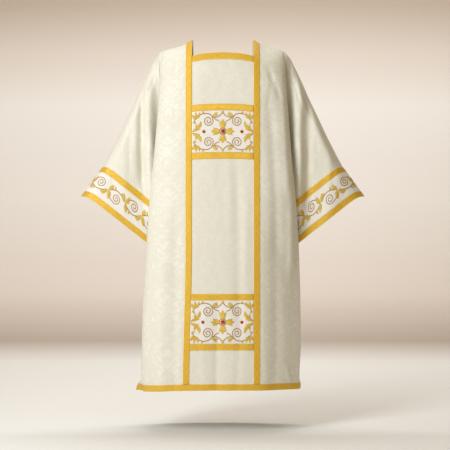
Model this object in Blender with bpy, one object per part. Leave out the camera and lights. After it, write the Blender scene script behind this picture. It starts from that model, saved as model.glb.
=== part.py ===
# A dalmatic of ivory damask with woven gold braid, hollow, in the form it has when worn.
# Metres, +Z up. The front faces -Y. The origin lies between the shoulders that hold it up.

import math

import bmesh
import bpy
import numpy as np
from mathutils import Matrix, Vector

# Cloth and trims
CLOTH_WALL = 0.0014
BRAID_WALL = 0.0012
BAND_WALL = 0.0010
LAID_GAP = 0.0003
SEAM_GAP = 0.0005
RIDGE_GAP = 0.0009
SLEEVE_CLEARANCE = 0.0055
BRAID_WIDTH = 0.0215
MERGE_DISTANCE = 1e-6
SHARP_ANGLE = math.radians(50)

# Heights, each measured down from the shoulder ridge
DOME_HEIGHT = 0.130
UNDERARM = 0.389
CHEST_TOP = 0.228
CHEST_LOW = UNDERARM
LOWER_TOP = 0.870
LOWER_LOW = 1.041
VENT_TOP = 1.003
LENGTH = 1.200
HEM_BRAID_TOP = LENGTH - BRAID_WIDTH
FRONT_NECK = 0.062
BACK_NECK = 0.050

# The two upright braids, measured out from the middle of the body
CLAVUS_IN = 0.1065
CLAVUS_OUT = CLAVUS_IN + BRAID_WIDTH

# The wearer's right one swings out a little towards the hem
SWAY = 0.0090
SWAY_FROM = 0.72

# How fast the slope of the shoulders dies out down the body
SLOPE_LENGTH = 0.25

# The round of a panel's cross-section, and of the fold that leads back to its seam
ROUND_ACROSS = 2.6
ROUND_IN = 2.0
TUCK_BEND = 0.35

# The hem's corners
CURL_HEIGHT = 0.075
CURL_RIGHT = 0.042
CURL_LEFT = 0.006
CURL_POWER = 1.5
HEM_DIP = 0.009
HEM_RISE = 0.004
HEM_HALF = 0.27
HEM_TILT_FROM = 0.95

# Where a fold has its full height, as shares of its length, and how late it fades at an edge
FOLD_FULL_FROM = 0.22
FOLD_FULL_TO = 0.85
FOLD_EDGE_POWER = 8

# Stones set on the embroidered panels
STONE_LARGE = 0.0080
STONE_SMALL = 0.0058
STONE_OFFSET = 0.0655
STONE_SIDES = 12
STONE_SEAT_GAP = 0.0002

# Columns of a body panel: distances out from the middle, then shares of the way from the braid to
# the visible edge, then shares of the way from that edge to the seam
FACE_COLUMNS = (0.036, 0.072, CLAVUS_IN, CLAVUS_OUT)
EDGE_COLUMNS = (0.26, 0.52, 0.74, 0.90, 0.98, 1.0)
TUCK_COLUMNS = (0.28, 0.56, 0.78, 1.0)


def table(names, *rows):
    """A short table: the columns' names, then one row for each section or fold."""
    return dict(zip(names.split(), np.array(rows, float).T))


# Sections of the body. down: height below the ridge. front, back: how far the middle stands
# out. side: how far the visible edge does. right, left: the wearer's half-widths. seam, tuck: the
# place of the seam, which lies in the fold behind the panel's edge.
BODY = table(
    "down  front  back   side   right  left   seam   tuck",
    (0.000, 0.120, 0.112, 0.062, 0.2120, 0.2120, 0.2215, 0.0580),
    (0.035, 0.120, 0.113, 0.062, 0.2165, 0.2165, 0.2235, 0.0540),
    (0.080, 0.120, 0.115, 0.062, 0.2190, 0.2190, 0.2215, 0.0480),
    (0.150, 0.122, 0.119, 0.064, 0.2220, 0.2220, 0.2135, 0.0410),
    (0.250, 0.129, 0.121, 0.067, 0.2290, 0.2290, 0.2060, 0.0360),
    (0.330, 0.132, 0.119, 0.068, 0.2360, 0.2355, 0.2010, 0.0240),
    (0.389, 0.134, 0.117, 0.067, 0.2410, 0.2400, 0.1980, 0.0006),
    (0.500, 0.138, 0.118, 0.064, 0.2525, 0.2510, 0.2000, 0.0006),
    (0.620, 0.142, 0.122, 0.066, 0.2620, 0.2610, 0.2030, 0.0006),
    (0.740, 0.146, 0.128, 0.068, 0.2690, 0.2670, 0.2110, 0.0006),
    (0.800, 0.148, 0.131, 0.068, 0.2720, 0.2690, 0.2270, 0.0006),
    (0.860, 0.150, 0.135, 0.067, 0.2760, 0.2710, 0.2520, 0.0006),
    (0.920, 0.152, 0.139, 0.066, 0.2795, 0.2720, 0.2660, 0.0006),
    (0.985, 0.153, 0.143, 0.065, 0.2815, 0.2730, 0.2690, 0.0008),
    (1.050, 0.154, 0.147, 0.065, 0.2830, 0.2730, 0.2680, 0.0080),
    (1.130, 0.156, 0.151, 0.067, 0.2850, 0.2690, 0.2660, 0.0160),
    (1.200, 0.158, 0.154, 0.070, 0.2780, 0.2670, 0.2620, 0.0220),
)

# The shoulder ridge, seen from the front: its height over the origin at each width.
SHOULDER = table(
    "out  rise",
    (0.0000, 0.0364),
    (0.0500, 0.0335),
    (0.1065, 0.0205),
    (0.1280, 0.0095),
    (0.1550, -0.0010),
    (0.1900, -0.0095),
    (0.2120, -0.0165),
    (0.2215, -0.0225),
)

# Main upright folds. out_top, out_mid and out_low are places across the body at the fold's top,
# middle and foot; raise is over the panel, or under it where negative.
FRONT_FOLDS = table(
    "top    foot   out_top out_mid out_low width  raise",
    (-0.22, -1.30, 0.152, 0.190, 0.168, 0.0190, -0.0085),
    (-0.30, -1.30, 0.205, 0.222, 0.206, 0.0160, 0.0045),
    (-0.36, -1.02, 0.048, 0.052, 0.058, 0.0180, -0.0030),
    (-0.84, -1.30, -0.016, -0.018, -0.022, 0.0180, -0.0030),
    (-0.48, -1.30, -0.158, -0.162, -0.166, 0.0200, -0.0035),
    (-0.60, -1.30, -0.206, -0.212, -0.216, 0.0200, 0.0040),
)
BACK_FOLDS = table(
    "top    foot   out_top out_mid out_low width  raise",
    (-0.30, -1.30, -0.150, -0.172, -0.162, 0.0190, -0.0070),
    (-0.42, -1.30, 0.158, 0.176, 0.184, 0.0200, -0.0060),
    (-0.50, -1.30, -0.040, -0.048, -0.056, 0.0220, -0.0035),
    (-0.70, -1.30, 0.034, 0.040, 0.048, 0.0220, 0.0035),
)

# The sleeve, from the armhole to the cuff. outer: its upper fold. under: its lower fold.
# arm: half its depth where the arm lies. hang: half its depth where the cloth hangs empty.
# free: 0 where it follows the armhole, 1 where it has its own form.
SLEEVE = table(
    "outer_x outer_z under_x under_z arm    hang   free",
    (0.2215, -0.0225, 0.1980, -0.3950, 0.041, 0.024, 0.00),
    (0.2385, -0.0430, 0.2030, -0.4080, 0.052, 0.024, 0.10),
    (0.2520, -0.0690, 0.2070, -0.4200, 0.053, 0.024, 0.35),
    (0.2770, -0.1220, 0.2105, -0.4390, 0.056, 0.025, 0.75),
    (0.3050, -0.1860, 0.2130, -0.4600, 0.060, 0.026, 1.00),
    (0.3330, -0.2450, 0.2170, -0.4860, 0.060, 0.026, 1.00),
    (0.3650, -0.3130, 0.2190, -0.5140, 0.058, 0.025, 1.00),
    (0.3950, -0.3790, 0.2210, -0.5440, 0.055, 0.024, 1.00),
    (0.4203, -0.4300, 0.2220, -0.5724, 0.052, 0.022, 1.00),
)
CUFF_OUTER = (0.5000, -0.5310)
CUFF_UNDER = (0.2260, -0.7279)
CUFF_DEPTH = 0.1285
CUFF_ARM = 0.048
CUFF_HANG = 0.017
OUTER_ROUND = 0.17
UNDER_ROUND = 0.22
ARM_ENDS = 0.25
HANG_FROM = 0.90
CALM_EDGE = 0.12
LEAST_DEPTH = 0.002

# Folds of the sleeve, written as those of the body; their places are for the left arm.
SLEEVE_FRONT_FOLDS = table(
    "top    foot   out_top out_mid out_low width  raise",
    (-0.11, -0.54, 0.268, 0.271, 0.268, 0.0110, 0.0080),
    (-0.10, -0.50, 0.290, 0.292, 0.291, 0.0120, -0.0105),
    (-0.26, -0.62, 0.352, 0.352, 0.350, 0.0240, 0.0030),
)
SLEEVE_BACK_FOLDS = table(
    "top    foot   out_top out_mid out_low width  raise",
    (-0.13, -0.60, 0.276, 0.284, 0.288, 0.0140, 0.0060),
    (-0.16, -0.64, 0.304, 0.316, 0.322, 0.0150, -0.0070),
)

# A stone in its rim, from the middle of its seat to its top, in shares of its radius
STONE_PROFILE = table(
    "out   up",
    (0.00, 0.00),
    (1.00, 0.00),
    (1.00, 0.18),
    (0.86, 0.30),
    (0.80, 0.42),
    (0.45, 0.62),
    (0.00, 0.68),
)

# Colour, roughness and metallic value
COLOURS = {
    "damask": ((0.831, 0.787, 0.679), 0.52, 0.0),
    "braid": ((0.820, 0.497, 0.055), 0.40, 0.30),
    "embroidery ground": ((0.871, 0.838, 0.760), 0.60, 0.0),
    "red stone": ((0.420, 0.012, 0.016), 0.12, 0.0),
}


def smooth_step(low, high, value):
    """0 below low and 1 above high, with a soft change between."""
    share = np.clip((value - low) / (high - low), 0.0, 1.0)
    return share * share * (3.0 - 2.0 * share)


def read(rows, key, column, at):
    """Read one column of a table as a smooth curve that never overshoots its rows."""
    keys = rows[key]
    values = rows[column]
    step = np.diff(keys)
    rise = np.diff(values) / step
    product = rise[:-1] * rise[1:]
    total = rise[:-1] + rise[1:]
    inner = np.where(product > 0, 2 * product / np.where(total == 0, 1, total), 0)
    slope = np.concatenate([rise[:1], inner, rise[-1:]])
    at = float(np.clip(at, keys[0], keys[-1]))
    i = min(int(np.searchsorted(keys, at, side="right")) - 1, len(step) - 1)
    s = (at - keys[i]) / step[i]
    return (
        values[i] * (1 + 2 * s) * (1 - s) ** 2
        + slope[i] * step[i] * s * (1 - s) ** 2
        + values[i + 1] * s * s * (3 - 2 * s)
        + slope[i + 1] * step[i] * s * s * (s - 1)
    )


def fold_height(folds, x, z):
    """How far the folds lift the cloth at a place seen from the front."""
    height = 0.0
    for top, foot, out_top, out_mid, out_low, width, lift in zip(*folds.values()):
        along = (top - z) / (top - foot)
        if along <= 0:
            continue
        line = (
            out_top * (1 - along) * (1 - 2 * along)
            + out_mid * 4 * along * (1 - along)
            + out_low * along * (2 * along - 1)
        )
        ends = smooth_step(0.0, FOLD_FULL_FROM, along) * (1 - smooth_step(FOLD_FULL_TO, 1.0, along))
        height += lift * ends * math.exp(-(((x - line) / width) ** 2))
    return height


def dome(down):
    """The round of the shoulders in side view: 0 at the ridge, 1 where the cloth hangs."""
    return math.sqrt(1 - (1 - min(down / DOME_HEIGHT, 1)) ** 2)


def seam_gap(down):
    """Half the parting of front and back: more on the ridge, where their walls lean together."""
    return RIDGE_GAP if down == 0 else SEAM_GAP


def height_at(x, down):
    """The height of a point of the body, lifted or dropped by the slope of the shoulders."""
    slope = read(SHOULDER, "out", "rise", abs(x)) * math.exp(-down / SLOPE_LENGTH)
    tilt = (HEM_DIP if x < 0 else HEM_RISE) * (x / HEM_HALF) ** 3
    tilt *= smooth_step(HEM_TILT_FROM, LENGTH, down)
    return slope + tilt - down


def panel_point(panel, side, column, share, down):
    """One point of the front (-1) or back (1) panel, on the wearer's right (-1) or left (1).

    column is "face", with share the distance out from the middle in metres, "edge", with share
    from the upright braid (0) to the visible edge (1), or "tuck", from that edge to the seam.
    """
    depth = read(BODY, "down", "front" if panel < 0 else "back", down) * dome(down)
    edge_depth = max(read(BODY, "down", "side", down) * dome(down), seam_gap(down))
    width = read(BODY, "down", "right" if side < 0 else "left", down)
    if column == "tuck":
        seam = read(BODY, "down", "seam", down)
        tuck = max(read(BODY, "down", "tuck", down) * dome(down), seam_gap(down))
        bend = TUCK_BEND * max(edge_depth - tuck, 0)
        lead = TUCK_BEND * (width - seam)
        a, b = (1 - share) ** 3, 3 * share * (1 - share) ** 2
        c, d = 3 * share**2 * (1 - share), share**3
        out = (a + b) * width + c * (seam + lead) + d * seam
        back = a * edge_depth + b * (edge_depth - bend) + c * (tuck + bend) + d * tuck
        curl = smooth_step(LENGTH - CURL_HEIGHT, LENGTH, down) * share**CURL_POWER
        curl *= CURL_RIGHT if side < 0 else CURL_LEFT
        out += curl
        return Vector((side * out, panel * back, height_at(side * out, down)))
    sway = SWAY * smooth_step(SWAY_FROM, LENGTH, down) if side < 0 else 0
    braid = CLAVUS_OUT + sway
    if column == "face":
        out = share + sway * min(share / CLAVUS_IN, 1)
    else:
        out = braid + share * (width - braid)
    ratio = min(out / width, 1.0)
    round_in = (1 - ratio**ROUND_ACROSS) ** (1 / ROUND_IN)
    reach = edge_depth + (depth - edge_depth) * round_in
    z = height_at(side * out, down)
    folds = FRONT_FOLDS if panel < 0 else BACK_FOLDS
    reach += fold_height(folds, side * out, z) * (1 - ratio**FOLD_EDGE_POWER)
    reach = max(reach, seam_gap(down))
    return Vector((side * out, panel * reach, z))


def body_rows(neck):
    """Heights of the panel's rows; each trim starts and ends on one."""
    upper = [0, 0.004, 0.014, 0.032, neck, neck + BRAID_WIDTH, 0.110, 0.150, 0.190]
    chest = [CHEST_TOP, *np.linspace(CHEST_TOP + BRAID_WIDTH, CHEST_LOW, 4, endpoint=False)]
    middle = [CHEST_LOW, CHEST_LOW + BRAID_WIDTH, 0.47, 0.54, 0.61, 0.68, 0.745, 0.805]
    lower = [LOWER_TOP, *np.linspace(LOWER_TOP + BRAID_WIDTH, LOWER_LOW, 4, endpoint=False)]
    hem = [LOWER_LOW, LOWER_LOW + BRAID_WIDTH, 1.12, HEM_BRAID_TOP, LENGTH]
    return upper + chest + middle + lower + hem


def body_columns():
    """The columns of a panel, from the wearer's right seam to the left one."""
    half = [("face", out) for out in FACE_COLUMNS]
    half += [("edge", share) for share in EDGE_COLUMNS]
    half += [("tuck", share) for share in TUCK_COLUMNS]
    right = [(-1, kind, share) for kind, share in reversed(half)]
    left = [(1, kind, share) for kind, share in half]
    return right + [(1, "face", 0.0)] + left


def body_grid(panel, neck):
    """All points of one body panel, row by row."""
    return np.array([[panel_point(panel, *column, down) for column in body_columns()]
                     for down in body_rows(neck)])


def grid_normals(grid, wrap=False):
    """Outward unit normals at a grid's points."""
    if wrap:
        padded = np.concatenate([grid[:, -2:-1], grid, grid[:, 1:2]], axis=1)
        across = padded[:, 2:] - padded[:, :-2]
    else:
        across = np.gradient(grid, axis=1)
    down = np.gradient(grid, axis=0)
    normals = np.cross(across, down)
    normals /= np.linalg.norm(normals, axis=2, keepdims=True)
    if np.sum(normals[..., 1] * grid[..., 1]) < 0:
        normals = -normals
    return normals


def material(finish):
    """A plain shader with a finish's colour, roughness and metallic value."""
    if finish in bpy.data.materials:
        return bpy.data.materials[finish]
    colour, roughness, metallic = COLOURS[finish]
    made = bpy.data.materials.new(finish)
    made.use_nodes = True
    shader = made.node_tree.nodes["Principled BSDF"]
    shader.inputs["Base Color"].default_value = (*colour, 1)
    shader.inputs["Roughness"].default_value = roughness
    shader.inputs["Metallic"].default_value = metallic
    return made


def add_object(name, work, finish):
    """Put a finished mesh in the scene under its name."""
    mesh = bpy.data.meshes.new(name)
    work.to_mesh(mesh)
    work.free()
    mesh.materials.append(material(finish))
    mesh.shade_smooth()
    mesh.set_sharp_from_angle(angle=SHARP_ANGLE)
    made = bpy.data.objects.new(name, mesh)
    bpy.context.collection.objects.link(made)
    return made


def add_cloth(name, grid, normals, wall, outward, finish, hole=None):
    """A wall of cloth through a grid of points, thickened inward or outward."""
    rows, columns = grid.shape[:2]
    work = bmesh.new()
    bmesh.ops.create_grid(work, x_segments=columns - 1, y_segments=rows - 1, size=0.5)
    for vert in work.verts:
        column = round((vert.co.x + 0.5) * (columns - 1))
        row = round((vert.co.y + 0.5) * (rows - 1))
        vert.co = grid[row, column]
    work.normal_update()
    work.faces.ensure_lookup_table()
    middle = work.faces[len(work.faces) // 2]
    near = np.linalg.norm(grid - np.array(middle.calc_center_median()), axis=2).argmin()
    if middle.normal.dot(Vector(normals.reshape(-1, 3)[near])) < 0:
        bmesh.ops.reverse_faces(work, faces=work.faces)
    if hole:
        cut = [face for face in work.faces if hole(face.calc_center_median())]
        bmesh.ops.delete(work, geom=cut, context="FACES")
    bmesh.ops.remove_doubles(work, verts=work.verts, dist=MERGE_DISTANCE)
    made = add_object(name, work, finish)
    solid = made.modifiers.new("wall", "SOLIDIFY")
    solid.thickness = wall
    solid.offset = 1 if outward else -1
    return made


def laid_grid(grid, normals, rows, columns, trim_sides=True, trim_ends=True):
    """Points of a trim that lies on a panel: the panel's own, moved out, its edges drawn in."""
    top, foot = rows
    first, last = columns
    part = grid[top:foot + 1, first:last + 1] + LAID_GAP * normals[top:foot + 1, first:last + 1]
    shifts = []
    if trim_sides:
        shifts += [((slice(None), 0), (slice(None), 1)), ((slice(None), -1), (slice(None), -2))]
    if trim_ends:
        shifts += [((0, slice(None)), (1, slice(None))), ((-1, slice(None)), (-2, slice(None)))]
    trimmed = part.copy()
    for edge, inner in shifts:
        step = part[inner] - part[edge]
        length = np.linalg.norm(step, axis=1, keepdims=True)
        trimmed[edge] += step / length * LAID_GAP
    return trimmed, normals[top:foot + 1, first:last + 1]


def row_of(rows, down):
    """The number of the row at a height."""
    return int(np.argmin(np.abs(np.array(rows) - down)))


def add_stone(name, grid, normals, row, offset, radius):
    """A domed stone in a low gold rim, seated on the embroidered ground."""
    middle = grid.shape[1] // 2
    columns = grid[row, :, 0]
    place = [np.interp(offset, columns, grid[row, :, axis]) for axis in range(3)]
    facing = Vector(normals[row, middle])
    work = bmesh.new()
    profile = zip(*STONE_PROFILE.values())
    verts = [work.verts.new((out * radius, 0, up * radius)) for out, up in profile]
    edges = [work.edges.new(pair) for pair in zip(verts[:-1], verts[1:])]
    bmesh.ops.spin(work, geom=verts + edges, axis=(0, 0, 1), cent=(0, 0, 0),
                   angle=math.tau, steps=STONE_SIDES, use_merge=True)
    bmesh.ops.remove_doubles(work, verts=work.verts, dist=MERGE_DISTANCE)
    bmesh.ops.recalc_face_normals(work, faces=work.faces)
    seat = Vector(place) + facing * (2 * LAID_GAP + BAND_WALL + STONE_SEAT_GAP)
    turn = facing.to_track_quat("Z", "X").to_matrix().to_4x4()
    bmesh.ops.transform(work, matrix=Matrix.Translation(seat) @ turn, verts=work.verts)
    return add_object(name, work, "red stone")


def add_body():
    """Front and back, and all that is sewn on them."""
    columns = body_columns()
    places = {(side, kind, share): i for i, (side, kind, share) in enumerate(columns)}
    inner = {side: places[(side, "face", CLAVUS_IN)] for side in (-1, 1)}
    outer = {side: places[(side, "face", CLAVUS_OUT)] for side in (-1, 1)}
    sides = {-1: "right", 1: "left"}
    for panel, label, neck in ((-1, "front", FRONT_NECK), (1, "back", BACK_NECK)):
        rows = body_rows(neck)
        grid = body_grid(panel, neck)
        normals = grid_normals(grid)
        neck_height = grid[row_of(rows, neck), len(columns) // 2, 2]
        rim = 0.5 * (grid[row_of(rows, neck), inner[1], 2] + neck_height)

        def in_neck(centre, rim=rim):
            return abs(centre.x) < CLAVUS_IN and centre.z > rim

        add_cloth(f"{label}_panel", grid, normals, CLOTH_WALL, False, "damask", hole=in_neck)
        hem_row = row_of(rows, HEM_BRAID_TOP)
        for side in (-1, 1):
            span = sorted((inner[side], outer[side]))
            clavus = laid_grid(grid, normals, (0, hem_row), span, trim_sides=False)
            add_cloth(f"{label}_upright_braid_{sides[side]}", *clavus, BRAID_WALL, True, "braid")
            seam = places[(side, "tuck", TUCK_COLUMNS[-1])]
            vent_in = places[(side, "tuck", TUCK_COLUMNS[1])]
            vent = laid_grid(grid, normals, (row_of(rows, VENT_TOP), hem_row),
                             sorted((vent_in, seam)), trim_sides=False)
            add_cloth(f"{label}_vent_braid_{sides[side]}", *vent, BRAID_WALL, True, "braid")
        hem = laid_grid(grid, normals, (hem_row, hem_row + 1), (0, len(columns) - 1),
                        trim_sides=False, trim_ends=False)
        add_cloth(f"{label}_hem_braid", *hem, BRAID_WALL, True, "braid")
        between = (inner[-1], inner[1])
        bars = {"neck": neck}
        if panel < 0:
            bars.update(chest_top=CHEST_TOP, chest_low=CHEST_LOW,
                        lower_top=LOWER_TOP, lower_low=LOWER_LOW)
        for bar, down in bars.items():
            top = row_of(rows, down)
            piece = laid_grid(grid, normals, (top, top + 1), between, trim_ends=False)
            add_cloth(f"{label}_{bar}_braid", *piece, BRAID_WALL, True, "braid")
        if panel > 0:
            continue
        for zone, high, low in (("chest", CHEST_TOP, CHEST_LOW), ("lower", LOWER_TOP, LOWER_LOW)):
            span = (row_of(rows, high) + 1, row_of(rows, low))
            field = laid_grid(grid, normals, span, between)
            add_cloth(f"{zone}_embroidered_panel", *field, BAND_WALL, True, "embroidery ground")
            add_zone_stones(zone, rows, grid, normals, high, low)


def add_zone_stones(zone, rows, grid, normals, high, low):
    """Three stones in a row across an embroidered panel."""
    centre = 0.5 * (high + BRAID_WIDTH + low)
    row = row_of(rows, centre)
    add_stone(f"{zone}_stone_middle", grid, normals, row, 0.0, STONE_LARGE)
    for side, label in ((-1, "right"), (1, "left")):
        add_stone(f"{zone}_stone_{label}", grid, normals, row, side * STONE_OFFSET, STONE_SMALL)


def sleeve_stations():
    """The sleeve's table, with rows added for the cuff, where the lines stay parallel."""
    stations = [dict(zip(SLEEVE, row)) for row in zip(*SLEEVE.values())]
    top = stations[-1]
    for share in (BRAID_WIDTH / CUFF_DEPTH, 0.5, 1 - BRAID_WIDTH / CUFF_DEPTH, 1.0):
        stations.append({
            "outer_x": top["outer_x"] + share * (CUFF_OUTER[0] - top["outer_x"]),
            "outer_z": top["outer_z"] + share * (CUFF_OUTER[1] - top["outer_z"]),
            "under_x": top["under_x"] + share * (CUFF_UNDER[0] - top["under_x"]),
            "under_z": top["under_z"] + share * (CUFF_UNDER[1] - top["under_z"]),
            "arm": top["arm"] + share * (CUFF_ARM - top["arm"]),
            "hang": top["hang"] + share * (CUFF_HANG - top["hang"]),
            "free": 1.0,
        })
    return stations


def round_end(share, width):
    """The round of a fold: 0 on the fold itself, 1 from a given share of the width on."""
    return math.sqrt(1 - (1 - min(share / width, 1)) ** 2)


def room_behind_edge(layer, side, x, z):
    """How deep a sleeve may be where it passes behind the edge of a body panel."""
    down = SHOULDER["rise"][-1] * math.exp(z / SLOPE_LENGTH) - z
    tuck = [panel_point(layer, side, "tuck", share, down) for share in np.linspace(1, 0, 12)]
    outs = [abs(point.x) for point in tuck]
    depths = [abs(point.y) for point in tuck]
    if x > max(outs) + SLEEVE_CLEARANCE:
        return 1.0
    return np.interp(x, outs, depths) - SLEEVE_CLEARANCE


def armhole(layer, side, neck):
    """The armhole seam of one panel, from the ridge to the underarm, drawn off the panel."""
    seam = []
    for down in body_rows(neck):
        if down > UNDERARM + MERGE_DISTANCE:
            break
        end = panel_point(layer, side, "tuck", 1.0, down)
        near = panel_point(layer, side, "tuck", 0.97, down)
        onward = (end - near).normalized()
        outside = Vector((-layer * onward.y, layer * onward.x, 0)) * side
        if down == 0:
            outside = Vector((0, 0, 1))
        seam.append(end + onward * RIDGE_GAP + outside.normalized() * SEAM_GAP)
    return seam


def sleeve_layer(layer, side, neck):
    """The points of a sleeve's front (-1) or back (1) layer, station by station."""
    seam = armhole(layer, side, neck)
    lengths = np.cumsum([0] + [(b - a).length for a, b in zip(seam[:-1], seam[1:])])
    seam_share = lengths / lengths[-1]
    cuff_share = (1 - np.cos(np.pi * np.linspace(0, 1, len(seam)))) / 2
    folds = SLEEVE_FRONT_FOLDS if layer < 0 else SLEEVE_BACK_FOLDS
    grid = [[Vector(point) for point in seam]]
    for station in sleeve_stations()[1:]:
        free = station["free"]
        outer = Vector((station["outer_x"], 0, station["outer_z"]))
        under = Vector((station["under_x"], 0, station["under_z"]))
        ring = []
        for k, start in enumerate(seam):
            share = seam_share[k] + (cuff_share[k] - seam_share[k]) * free
            place = outer.lerp(under, share)
            straight = seam[0].lerp(seam[-1], seam_share[k])
            bow = abs(start.x) - abs(straight.x)
            place.x += bow * (1 - free)
            empty = smooth_step(ARM_ENDS, HANG_FROM, share)
            own = station["arm"] + (station["hang"] - station["arm"]) * empty
            own *= round_end(share, OUTER_ROUND) * round_end(1 - share, UNDER_ROUND)
            depth = abs(start.y) * (1 - free) + own * free
            inside = smooth_step(0.0, CALM_EDGE, share) * smooth_step(0.0, CALM_EDGE, 1 - share)
            depth += fold_height(folds, place.x, place.z) * free * inside
            depth = min(depth, room_behind_edge(layer, side, place.x, place.z))
            depth = max(depth, LEAST_DEPTH) if 0 < k < len(seam) - 1 else 0
            ring.append(Vector((side * place.x, layer * depth, place.z)))
        grid.append(ring)
    return grid


def add_sleeves():
    """Both sleeves, each with its embroidered cuff between two braids."""
    for side, label in ((-1, "right"), (1, "left")):
        front = sleeve_layer(-1, side, FRONT_NECK)
        back = sleeve_layer(1, side, BACK_NECK)
        rings = []
        for one, other in zip(front, back):
            top = (one[0] + other[0]) / 2
            low = (one[-1] + other[-1]) / 2
            ring = [top] + one[1:-1] + [low] + other[-2:0:-1] + [top]
            rings.append([tuple(point) for point in ring])
        grid = np.array(rings)
        normals = grid_normals(grid, wrap=True)
        add_cloth(f"sleeve_{label}", grid, normals, CLOTH_WALL, False, "damask")
        count = grid.shape[1] - 1
        cuff = len(SLEEVE["free"]) - 1
        pieces = (
            ("cuff_upper_braid", (cuff, cuff + 1), BRAID_WALL, "braid"),
            ("cuff_embroidered_band", (cuff + 1, cuff + 3), BAND_WALL, "embroidery ground"),
            ("cuff_lower_braid", (cuff + 3, cuff + 4), BRAID_WALL, "braid"),
        )
        for name, span, wall, finish in pieces:
            piece = laid_grid(grid, normals, span, (0, count), trim_sides=False)
            add_cloth(f"{name}_{label}", *piece, wall, True, finish)


for old in list(bpy.data.objects):
    bpy.data.objects.remove(old, do_unlink=True)

add_body()
add_sleeves()
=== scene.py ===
# A dalmatic of ivory damask with woven gold braid and embroidered bands, hollow, as worn.
# Metres, +Z up, front towards -Y. Heights called down are measured from the shoulder ridge.
import math

import bmesh
import bpy
import numpy as np
from mathutils import Matrix, Vector


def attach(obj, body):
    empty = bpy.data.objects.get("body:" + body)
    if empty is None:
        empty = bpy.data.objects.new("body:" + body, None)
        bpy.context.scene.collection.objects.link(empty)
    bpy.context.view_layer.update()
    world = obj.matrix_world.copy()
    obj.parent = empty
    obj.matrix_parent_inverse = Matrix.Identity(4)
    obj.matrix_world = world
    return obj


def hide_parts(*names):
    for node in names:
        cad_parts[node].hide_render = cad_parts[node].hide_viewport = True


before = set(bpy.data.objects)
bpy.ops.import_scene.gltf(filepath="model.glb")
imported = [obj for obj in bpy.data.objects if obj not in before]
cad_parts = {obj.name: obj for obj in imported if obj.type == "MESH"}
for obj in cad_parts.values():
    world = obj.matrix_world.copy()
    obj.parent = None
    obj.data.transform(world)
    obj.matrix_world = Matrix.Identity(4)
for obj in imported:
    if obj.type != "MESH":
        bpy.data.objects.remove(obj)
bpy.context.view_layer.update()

# the cut and its drape, as the frame has them
cut = {
    "wall": 0.0014,
    "seamGap": 0.0005,
    "ridgeGap": 0.0002,
    "armholeGap": 0.0008,
    "length": 1.200,
    "underarm": 0.389,
    "domeHeight": 0.130,
    "slopeLength": 0.25,
    "frontNeck": 0.062,
    "backNeck": 0.050,
    "chestTop": 0.228,
    "chestLow": 0.389,
    "lowerTop": 0.870,
    "lowerLow": 1.041,
    "ventTop": 1.003,
    "ventBraidFrom": 2.56,
    "braidIn": 0.1065,
    "braidWidth": 0.0215,
    "sway": 0.0090,
    "swayFrom": 0.72,
    "roundAcross": 2.6,
    "tuckBend": 0.35,
    "curlHeight": 0.075,
    "curlRight": 0.042,
    "curlLeft": 0.011,
    "curlPower": 1.5,
    "hemDipRight": 0.009,
    "hemDipLeft": 0.0055,
    "hemHalf": 0.27,
    "hemTiltFrom": 0.95,
    "foldFullFrom": 0.22,
    "foldFullTo": 0.85,
    "foldEdgePower": 12,
}
braidOut = cut["braidIn"] + cut["braidWidth"]
hemTop = cut["length"] - cut["braidWidth"]
sides = ((-1, "right"), (1, "left"))
panels = ((-1, "front", cut["frontNeck"]), (1, "back", cut["backNeck"]))


def table(names, *rows):
    return dict(zip(names.split(), np.array(rows, float).T))


bodyRows = table(
    "down  front  back   side   right  left   seam   tuck",
    (0.000, 0.120, 0.112, 0.062, 0.2120, 0.2120, 0.2215, 0.0580),
    (0.035, 0.120, 0.113, 0.062, 0.2165, 0.2165, 0.2235, 0.0540),
    (0.080, 0.120, 0.115, 0.062, 0.2190, 0.2190, 0.2215, 0.0480),
    (0.150, 0.122, 0.119, 0.064, 0.2220, 0.2220, 0.2135, 0.0410),
    (0.250, 0.129, 0.121, 0.067, 0.2290, 0.2290, 0.2060, 0.0360),
    (0.330, 0.132, 0.119, 0.068, 0.2360, 0.2355, 0.2010, 0.0240),
    (0.389, 0.134, 0.117, 0.067, 0.2410, 0.2400, 0.1980, 0.0006),
    (0.500, 0.138, 0.118, 0.064, 0.2525, 0.2510, 0.2000, 0.0006),
    (0.620, 0.142, 0.122, 0.066, 0.2620, 0.2610, 0.2030, 0.0006),
    (0.740, 0.146, 0.128, 0.068, 0.2690, 0.2670, 0.2110, 0.0006),
    (0.800, 0.148, 0.131, 0.068, 0.2720, 0.2690, 0.2270, 0.0006),
    (0.860, 0.150, 0.135, 0.067, 0.2760, 0.2710, 0.2520, 0.0006),
    (0.920, 0.152, 0.139, 0.066, 0.2795, 0.2720, 0.2660, 0.0006),
    (0.985, 0.153, 0.143, 0.065, 0.2815, 0.2730, 0.2690, 0.0008),
    (1.050, 0.154, 0.147, 0.065, 0.2830, 0.2730, 0.2680, 0.0080),
    (1.130, 0.156, 0.151, 0.067, 0.2850, 0.2690, 0.2660, 0.0160),
    (1.200, 0.158, 0.154, 0.070, 0.2780, 0.2670, 0.2620, 0.0220),
)
shoulderRows = table(
    "out  rise",
    (0.0000, 0.0364),
    (0.0500, 0.0335),
    (0.1065, 0.0205),
    (0.1280, 0.0095),
    (0.1550, -0.0010),
    (0.1900, -0.0095),
    (0.2120, -0.0165),
    (0.2215, -0.0225),
)
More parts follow.
